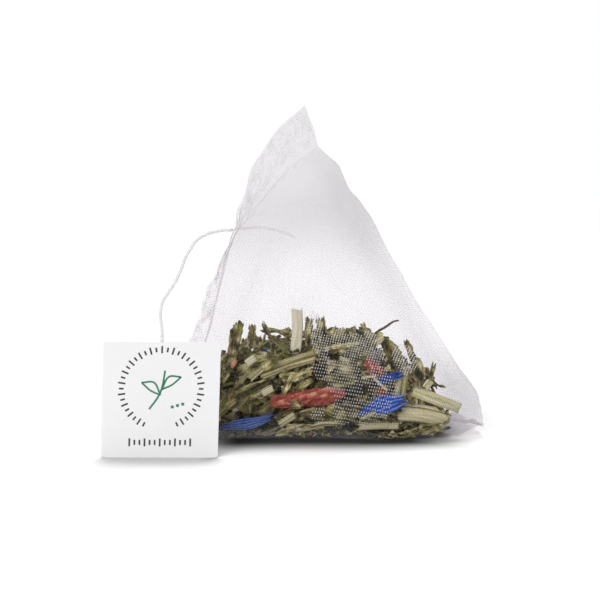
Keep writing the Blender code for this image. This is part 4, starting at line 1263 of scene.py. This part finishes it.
def node_frame(name):
    """A CAD piece's middle, its axes (long, wide, thin and outward) and its extents, in design mm."""
    points = np.array([v.co for v in bpy.data.objects[name].data.vertices]) / MM - SHIFT
    middle = (points.min(0) + points.max(0)) / 2
    _, vectors = np.linalg.eigh(np.cov((points - points.mean(0)).T))
    axes = vectors[:, ::-1].T.copy()
    for k in (0, 1):
        axes[k] *= np.sign(axes[k][np.argmax(np.abs(axes[k]))])
    axes[2] = np.cross(axes[0], axes[1])
    spans = (points - middle) @ axes.T
    middle = middle + axes.T @ ((spans.max(0) + spans.min(0)) / 2)
    if axes[2] @ (middle - HEAP_CENTRE) < 0:
        axes[1:] *= -1
    return middle, axes, spans.max(0) - spans.min(0)


def placed(form, axes, middle):
    form.points = form.points @ axes + middle
    return form


# How each kind of CAD piece is made, by the first word of its name: function, material and slot
KINDS = {
    "leaf": (dry_leaf, LEAF, "tea_leaf"),
    "stub": (dry_stub, LEAF, "tea_leaf"),
    "petal": (dry_petal, PETAL, "petal"),
    "lemongrass": (grass_strip, STRAW, "lemongrass"),
    "stalk": (grass_strip, STRAW, "lemongrass"),
    "chip": (grass_strip, STRAW, "lemongrass"),
    "fruit": (dry_fruit, FRUIT, "fruit"),
    "twig": (dry_twig, TWIG, "twig"),
}
# Pieces that are longer or wider than their CAD solid, by these factors
SCALES = {"stalk_long": (1.12, 1.6), "petal_curl": (1.1, 0.8), "petal_left": (1.15, 0.62),
          "petal_upper": (1.05, 0.8), "lemongrass_stick": (1.25, 1.15), "lemongrass_tube": (1.0, 1.05),
          "lemongrass_fluted": (1.06, 1.5), "twig_barbed": (1.25, 2.2), "twig_top": (1.05, 0.6),
          "stub_left": (1.05, 1.25), "stub_left_thin": (1.1, 1.2), "stub_middle": (1.1, 1.3),
          "stub_right": (1.1, 1.15), "fruit_strip": (1.04, 0.95), "fruit_chip": (1.0, 0.85),
          "leaf_wedge": (1.1, 1.35), "leaf_bright": (0.9, 0.8), "leaf_curly": (1.0, 0.9),
          "leaf_flat": (1.1, 0.95)}
DEFAULT_SCALE = (1.05, 1.15)
# Pieces whose broad side faces another way, and pieces that sit a little off their CAD solid (mm)
TURNED = {"lemongrass_fluted": np.array([0.1, -0.85, 0.5]), "lemongrass_base": np.array([0.0, -0.9, 0.4]),
          "stalk_long": np.array([0.0, -0.95, 0.3]), "petal_curl": np.array([0.0, -0.9, 0.4]),
          "petal_left": np.array([0.0, -0.9, 0.4])}
MOVES = {"lemongrass_stick": np.array([0.1, -0.2, 0.6]), "twig_barbed": np.array([0.3, 0.0, -0.3]),
         "lemongrass_fluted": np.array([0.8, -0.8, 0.8]), "petal_curl": np.array([-1.2, -0.3, 0.0]),
         "stalk_long": np.array([0.0, -0.5, 0.0]), "lemongrass_tube": np.array([0.3, -0.5, 0.2]),
         "lemongrass_upright": np.array([0.0, -0.6, 0.3])}
# Tints that differ from the middle one
TINTS = {"leaf_flat": 0.42, "leaf_wedge": 0.66, "leaf_curly": 0.6, "leaf_bright": 0.55, "stub_left": 0.3,
         "stub_right": 0.36, "leaf_lower_left": 0.42, "leaf_corner_left": 0.5, "leaf_left_inner": 0.45,
         "leaf_lower_left_2": 0.45, "lemongrass_upright": 0.45, "leaf_low_right": 0.4,
         "leaf_back_right_2": 0.6, "leaf_back_left_2": 0.6, "leaf_top_2": 0.6,
         "lemongrass_stick": 1.0, "lemongrass_tube": 0.62, "lemongrass_fluted": 0.72, "stalk_long": 0.34,
         "chip_low": 0.6, "petal_curl": 0.5, "petal_left": 0.68, "leaf_spiky": 0.35, "fruit_strip": 0.6}
DEFAULT_TINTS = {"leaf": 0.36, "stub": 0.4, "petal": 0.35, "lemongrass": 0.6, "stalk": 0.35, "chip": 0.6,
                 "fruit": 0.55, "twig": 0.35}


# Pieces that are made another way than their kind
OTHER_KINDS = {"lemongrass_tube": (grass_tube, STRAW, "lemongrass"), "twig_barbed": KINDS["stub"]}
# How near the viewer the middle of a front piece lies (y, mm)
FRONT_DEPTH = 7


def add_large_pieces(wall):
    """A detailed piece in the place of each CAD piece of tea. Gives the frames of those at the front."""
    fronts = []
    for number, name in enumerate(sorted(frame["nodes"])):
        kind = name.split("_")[0]
        if kind not in KINDS or name == "leaf_bed":
            continue
        make, material, slot = OTHER_KINDS.get(name, KINDS[kind])
        middle, axes, (length, width, _) = node_frame(name)
        if name in TURNED:
            axes[2] = unit(TURNED[name] - axes[0] * (axes[0] @ TURNED[name]))
            axes[1] = np.cross(axes[2], axes[0])
        middle = middle + MOVES.get(name, np.zeros(3))
        rng = np.random.default_rng(100 + number)
        longer, wider = SCALES.get(name, DEFAULT_SCALE)
        length, width = length * longer, width * wider
        form = make(length, width, rng, TINTS.get(name, DEFAULT_TINTS[kind]))
        placed(form, axes, middle)
        form.points = wall.tuck(form.points)
        make_piece(f"dry_{name}", form, material, (name,))
        if middle[1] < FRONT_DEPTH:
            fronts.append((middle, axes, length, width))
    return fronts


def bed_surface():
    """The points and faces of the CAD mound of small leaf, in design mm."""
    item = bpy.data.objects["leaf_bed"]
    points = np.array([v.co for v in item.data.vertices]) / MM - SHIFT
    faces = [tuple(p.vertices) for p in item.data.polygons]
    return points, faces


def add_bed(wall):
    """The mound of small leaf: the CAD mound made finer and rough."""
    points, faces = bed_surface()
    mesh = bpy.data.meshes.new("rough_bed")
    mesh.from_pydata(points.tolist(), [], faces)
    item = bpy.data.objects.new("leaf_mound", mesh)
    bpy.context.collection.objects.link(item)
    fine = item.modifiers.new("finer", "SUBSURF")
    fine.subdivision_type = "SIMPLE"
    fine.levels = fine.render_levels = 2
    depsgraph = bpy.context.evaluated_depsgraph_get()
    done = bpy.data.meshes.new_from_object(item.evaluated_get(depsgraph))
    item.modifiers.clear()
    item.data = done
    bpy.data.meshes.remove(mesh)
    place = np.array([v.co for v in done.vertices])
    normals = np.array([v.normal for v in done.vertices])
    rough = 0.35 * wander(place, 2.2, 41) + 0.2 * wander(place, 0.9, 42)
    place = wall.tuck(place + normals * rough[:, None], 0.5)
    done.vertices.foreach_set("co", to_frame(place).astype(np.float32).ravel())
    grain = done.uv_layers.new(name="grain", do_init=False)
    corners = place[[loop.vertex_index for loop in done.loops]]
    flat = np.stack([corners[:, 0] + 0.5 * corners[:, 1], corners[:, 2] + 0.5 * corners[:, 1]], axis=1)
    grain.uv.foreach_set("vector", flat.astype(np.float32).ravel())
    tint = done.attributes.new("tint", "FLOAT", "POINT")
    tint.data.foreach_set("value", (0.22 + 0.12 * wander(place, 1.5, 43)).astype(np.float32))
    done.shade_smooth()
    done.materials.clear()
    done.materials.append(BED)
    done.update()
    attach(item, "root")
    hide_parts("leaf_bed")


def pick(weights, count, rng):
    """Numbers of count places, chosen by weight."""
    return rng.choice(len(weights), count, p=weights / weights.sum())


def sloped_axes(slope, normal):
    """Axes of a piece that lies flat against normal, its length rising to the right by slope degrees."""
    a = math.radians(slope)
    along = np.array([math.cos(a), 0.0, math.sin(a)])
    along = unit(along - normal * (along @ normal))
    return np.stack([along, np.cross(normal, along), normal])


def random_axes(normal, rng, tilt):
    """Axes of a small piece that lies about flat against normal."""
    normal = unit(normal + rng.normal(size=3) * tilt)
    along = unit(np.cross(normal, rng.normal(size=3)))
    return np.stack([along, np.cross(normal, along), normal])


# Share of each kind among the small pieces: kind, share, lengths, widths, tints
SMALL_KINDS = [
    ("leaf", 0.70, (1.8, 5.2), (0.7, 1.9), (0.12, 0.62)),
    ("green", 0.10, (1.6, 4.2), (0.8, 1.8), (0.62, 0.95)),
    ("straw", 0.10, (1.6, 5.0), (0.35, 0.9), (0.2, 0.85)),
    ("twig", 0.07, (1.6, 4.5), (0.2, 0.5), (0.1, 0.7)),
    ("petal", 0.015, (1.2, 2.6), (0.6, 1.3), (0.2, 0.6)),
    ("fruit", 0.015, (1.0, 2.4), (0.7, 1.3), (0.3, 0.8)),
]
SMALL_FINISH = {"flake": (LEAF, "tea_leaf"), "leaf": (LEAF, "tea_leaf"), "green": (LEAF, "tea_leaf"),
                "straw": (STRAW, "lemongrass"), "twig": (TWIG, "twig"), "petal": (PETAL, "petal"),
                "fruit": (FRUIT, "fruit")}


def small_piece(kind, length, width, tint, rng):
    if kind in ("leaf", "green"):
        rows, columns = (5, 4) if length < 2 else (7, 5)
        return dry_leaf(length, width, rng, tint, rng.uniform(0.5, 2.8), rows, columns, rng.uniform(0.1, 0.7))
    if kind == "straw":
        return grass_strip(length, width, rng, tint, rows=4, columns=6)
    if kind == "twig":
        return dry_twig(length, width, rng, tint, rows=6, sides=6)
    if kind == "petal":
        return dry_petal(length, width, rng, tint, rows=7, columns=7)
    return dry_fruit(length, width, rng, tint, rows=9, sides=8)


# The darkest part of the heap's front: x and z of its middle, and how far it reaches across and up (mm)
POCKET_MIDDLE = (5.5, 10.5)
POCKET_REACH = (6.0, 6.5)


def pocket(places):
    """How deep in the shade a place at the front of the heap is, from 0 to 1."""
    across = (places[..., 0] - POCKET_MIDDLE[0]) / POCKET_REACH[0]
    up = (places[..., 2] - POCKET_MIDDLE[1]) / POCKET_REACH[1]
    return np.exp(-across ** 2 - up ** 2)


def scatter(places, normals, depths, tilt, scale, fronts, rng, made, paler=0.0):
    """Adds one small piece at each place to the lists in made."""
    places = behind_large(places - normals * depths[:, None], fronts)
    names = [row[0] for row in SMALL_KINDS]
    shares = np.array([row[1] for row in SMALL_KINDS])
    for place, normal in zip(places, normals):
        row = SMALL_KINDS[rng.choice(len(names), p=shares / shares.sum())]
        kind, _, lengths, widths, tints = row
        form = small_piece(kind, rng.uniform(*lengths) * scale, rng.uniform(*widths) * scale,
                           rng.uniform(*tints) + paler - 0.42 * pocket(place), rng)
        placed(form, random_axes(normal, rng, tilt), place)
        made.setdefault(kind, []).append(form)


def heap_top(x):
    return np.interp(x, [p[0] for p in HEAP_TOP], [p[1] for p in HEAP_TOP])


# How far round a front piece the small ones keep clear, along it, across it and behind it (mm)
CLEARANCES = (1.2, 0.9, 1.7)


def behind_large(places, fronts):
    """Moves places back behind the large pieces that lie against the front of the mesh."""
    moved = places.copy()
    for middle, axes, length, width in fronts:
        away = places - middle
        along, across = away @ axes[0], away @ axes[1]
        covered = (np.abs(along) < length / 2 + CLEARANCES[0]) & (np.abs(across) < width / 2 + CLEARANCES[1])
        moved[covered, 1] = np.maximum(moved[covered, 1], middle[1] + CLEARANCES[2])
    return moved


def add_flakes(middles, normals, weights, fronts, rng, made):
    """Long torn flakes just behind the mesh. Those at the left rise to the right, those at the right fall."""
    chosen = pick(weights, FLAKES, rng)
    places = behind_large(middles[chosen] - normals[chosen] * rng.uniform(0.9, 2.3, (FLAKES, 1)), fronts)
    for place, normal in zip(places, normals[chosen]):
        slope = np.interp(place[0], (-18, -4, 8, 20), (42, 22, 0, -24)) + rng.normal() * 16
        axes = sloped_axes(slope, unit(normal + rng.normal(size=3) * 0.16))
        length, width = rng.uniform(3.5, 9.0), rng.uniform(1.0, 2.6)
        kind = "straw" if rng.random() < 0.16 else "flake"
        tint = rng.uniform(0.05, 1.0) * (1 - 0.85 * pocket(place))
        if kind == "straw":
            form = grass_strip(length * 0.8, width * 0.5, rng, tint, rows=12, columns=11)
        else:
            form = dry_leaf(length, width, rng, tint, rng.uniform(0.3, 1.6), 19, 9, rng.uniform(0.1, 0.6))
        placed(form, axes, place)
        made.setdefault(kind, []).append(form)


# Small pieces against the front of the mesh: kind, x, z, length, width, slope in degrees, tint
ACCENTS = [
    ("straw", -11.6, 14.6, 2.2, 1.3, 35, 0.85), ("straw", -8.7, 9.2, 2.4, 1.3, 30, 0.7),
    ("straw", -10.6, 12.2, 3.4, 0.9, 42, 0.5), ("straw", -13.2, 11.0, 3.8, 0.8, 48, 0.42),
    ("fruit", -14.6, 14.2, 1.7, 0.8, 60, 1.0), ("leaf", -3.4, 6.6, 2.8, 1.6, -15, 0.3),
    ("green", 2.9, 16.9, 3.6, 0.9, 14, 0.75), ("green", 5.0, 14.6, 1.9, 1.1, -20, 0.8),
    ("leaf", -1.0, 5.0, 4.4, 2.4, 12, 0.3), ("leaf", 3.6, 5.4, 3.6, 2.6, -30, 0.42),
    ("straw", 1.6, 2.6, 4.6, 1.0, 6, 0.35), ("straw", 9.0, 4.6, 3.6, 0.7, 28, 0.4),
    ("leaf", -15.4, 8.6, 5.2, 1.4, 50, 0.3), ("leaf", -16.2, 6.0, 5.0, 1.2, 46, 0.55),
    ("straw", 20.2, 10.2, 2.0, 1.3, 50, 0.8), ("leaf", 20.8, 12.0, 4.0, 1.0, 75, 0.25),
    ("leaf", 3.0, 19.0, 3.4, 2.0, 60, 0.3), ("leaf", 5.4, 19.4, 3.8, 2.2, 15, 0.42),
    ("leaf", 8.2, 19.0, 4.4, 2.2, -12, 0.36), ("leaf", 10.6, 18.0, 3.6, 2.0, 30, 0.5),
    ("green", 5.6, 17.2, 5.6, 0.8, 10, 0.8), ("straw", 11.4, 10.6, 3.8, 0.5, -45, 0.65),
    ("straw", 9.4, 11.8, 3.0, 0.5, 8, 0.6), ("green", 2.6, 13.2, 2.0, 1.2, 40, 0.7),
]


ACCENT_DEPTH = 0.55


def add_accents(wall, rng, made):
    """The accents, each just behind the mesh where a line of sight meets it."""
    for kind, x, z, length, width, slope, tint in ACCENTS:
        hit, _, face, _ = wall.tree.ray_cast(Vector((x, -60.0, z)), Vector((0.0, 1.0, 0.0)))
        normal = wall.normals[face]
        if kind == "straw":
            form = grass_strip(length, width, rng, tint, rows=10, columns=11)
        elif kind == "fruit":
            form = dry_fruit(length, width, rng, tint, rows=14, sides=12)
        else:
            form = dry_leaf(length, width, rng, tint, 0.9, 18, 9, rng.uniform(0.1, 0.5))
        placed(form, sloped_axes(slope, normal), np.array(hit) - normal * ACCENT_DEPTH)
        made.setdefault(kind, []).append(form)


def add_small_pieces(wall, fronts):
    """Small tea over the whole heap: behind the mesh, on the mound, and crumbs along the floor edge."""
    rng = np.random.default_rng(77)
    made = {}
    middles, normals = wall.middles, wall.normals
    areas = wall.areas * (middles[:, 0] < 23.5)
    front = normals[:, 1] < -0.25
    low = middles[:, 2] < heap_top(middles[:, 0]) - 0.5
    back_low = middles[:, 2] < 13.5 - 0.012 * ((middles[:, 0]) ** 2 + (middles[:, 1] - 16) ** 2) * 0.6
    for mask, count, depth, tilt in ((front & low, 400, (1.9, 3.8), 0.4),
                                     (~front & back_low & (middles[:, 2] > 0.5), 270, (0.7, 2.6), 0.35),
                                     (normals[:, 2] < -0.6, 110, (0.5, 1.2), 0.2)):
        chosen = pick(areas * mask, count, rng)
        scatter(middles[chosen], normals[chosen], rng.uniform(*depth, count), tilt, 1.0, fronts, rng, made)
    add_flakes(middles, normals, areas * (front & low) * (middles[:, 0] < 19), fronts, rng, made)
    crumbs = (normals[:, 2] < 0.3) & (middles[:, 1] < 11) & (middles[:, 2] < 4.5)
    chosen = pick(areas * crumbs, CRUMBS, rng)
    depths = rng.uniform(0.2, 0.9, CRUMBS)
    scatter(middles[chosen], normals[chosen], depths, 0.3, 0.42, fronts, rng, made, 0.12)
    add_accents(wall, rng, made)
    points, faces = bed_surface()
    corners = points[np.array([f for f in faces if len(f) == 3])]
    crossed = np.cross(corners[:, 1] - corners[:, 0], corners[:, 2] - corners[:, 0])
    bed_areas = np.linalg.norm(crossed, axis=1)
    bed_normals = unit(crossed)
    up = np.where((bed_normals[:, 2] > 0.2) & (corners.mean(1)[:, 2] > 6), 1.0, 0.0)
    chosen = pick(bed_areas * up, TOP_PIECES, rng)
    depths = -rng.uniform(-0.2, 1.5, TOP_PIECES)
    scatter(corners.mean(1)[chosen], bed_normals[chosen], depths, 0.6, 1.15, (), rng, made)
    for kind, forms in made.items():
        material, slot = SMALL_FINISH[kind]
        joined = join_forms(forms)
        joined.points = wall.tuck(joined.points)
        make_piece(f"small_{kind}", joined, material)


# Card tag


def tag_point(across, up, depth):
    """A point of the card: across and up in mm from its lower left corner, depth from its front."""
    bend = TAG_BOW * math.sin(math.pi * across / TAG_WIDTH)
    bend += TAG_CURL * max(0.0, 1 - across / TAG_CREASE) ** 2
    return (TAG_LEFT + across + TAG_SKEW * up / TAG_HEIGHT, TAG_FRONT + depth + bend, up)


def add_tag():
    """The card, its corners a little blunt, and the print on it."""
    shares = np.linspace(0, 1, TAG_GRID)
    top = np.array([[tag_point(TAG_WIDTH * i, TAG_HEIGHT * j, 0.0) for j in shares] for i in shares])
    for i, j in ((0, 0), (-1, 0), (0, -1), (-1, -1)):
        top[i, j, 0] += TAG_CORNER * (1 + 2 * i)
        top[i, j, 2] += TAG_CORNER * (1 + 2 * j)
    card = sheet_form(top, TAG_THICKNESS - 0.1, TAG_WIDTH, TAG_HEIGHT)
    item = make_piece("card_tag", card, CARD, ("tag",))
    item.data.set_sharp_from_angle(angle=math.radians(50))
    add_print()


def bar(across, up, length, width, angle):
    """A thin printed bar on the card, as a sheet form."""
    a = math.radians(angle)
    corners = []
    for f in np.linspace(-0.5, 0.5, 4):
        row = []
        for s in (-0.5, 0.5):
            x = across + f * length * math.cos(a) - s * width * math.sin(a)
            z = up + f * length * math.sin(a) + s * width * math.cos(a)
            row.append(tag_point(x, z, -PRINT_LIFT))
        corners.append(row)
    return sheet_form(np.array(corners), -PRINT_LIFT * 0.5, length, width)


def ribbon(points, width):
    """A printed line through points on the card."""
    run = smooth_curve([(x, 0.0, z) for x, z in points], np.linspace(0, 1, 24))
    side = unit(np.cross(np.gradient(run, axis=0), (0.0, 1.0, 0.0)))
    top = np.array([[tag_point(p[0] + s * d[0] * width / 2, p[2] + s * d[2] * width / 2, -PRINT_LIFT)
                     for s in (-1, 1)] for p, d in zip(run, side)])
    return sheet_form(top, -PRINT_LIFT * 0.5, 10.0, width)


def add_print():
    """A plain printed ring of bars, a leaf sprig and a row of ticks."""
    dark = []
    for k in range(RING_BARS):
        turn = 360 * k / RING_BARS
        if RING_GAP[0] < turn < RING_GAP[1]:
            continue
        x = RING_MIDDLE[0] + RING_RADIUS * math.cos(math.radians(turn))
        z = RING_MIDDLE[1] + RING_RADIUS * math.sin(math.radians(turn))
        dark.append(bar(x, z, 1.25 if k % 2 else 0.8, 0.3, turn))
    for k in range(TICKS):
        dark.append(bar(4.9 + TICK_STEP * k, 2.7, 0.9 if k % 3 else 1.4, 0.3, 90))
    make_piece("tag_marks", join_forms(dark), DARK_INK, smooth=False)
    green = [ribbon([(8.2, 8.6), (9.6, 10.6), (10.4, 12.6), (10.8, 15.4)], 0.32)]
    for side in (-1, 1):
        base = (10.2 + 0.1 * side, 11.6 + 0.5 * side)
        tip = (base[0] + side * 3.3, base[1] + 2.2)
        for bulge in (1.0, -0.25):
            middle = ((base[0] + tip[0]) / 2 - side * 0.5 * bulge, (base[1] + tip[1]) / 2 + 1.1 * bulge)
            green.append(ribbon([base, middle, tip], 0.3))
    for k in range(3):
        green.append(bar(12.2 + 0.9 * k, 9.0 + 0.25 * k, 0.5, 0.5, 0))
    make_piece("tag_sprig", join_forms(green), GREEN_INK, smooth=False)


bpy.context.scene.cycles.transparent_max_bounces = 96
add_camera()
add_cord()
add_floor()
add_light()
add_bag()
add_tag()
wall = Wall()
fronts = add_large_pieces(wall)
add_bed(wall)
add_small_pieces(wall, fronts)
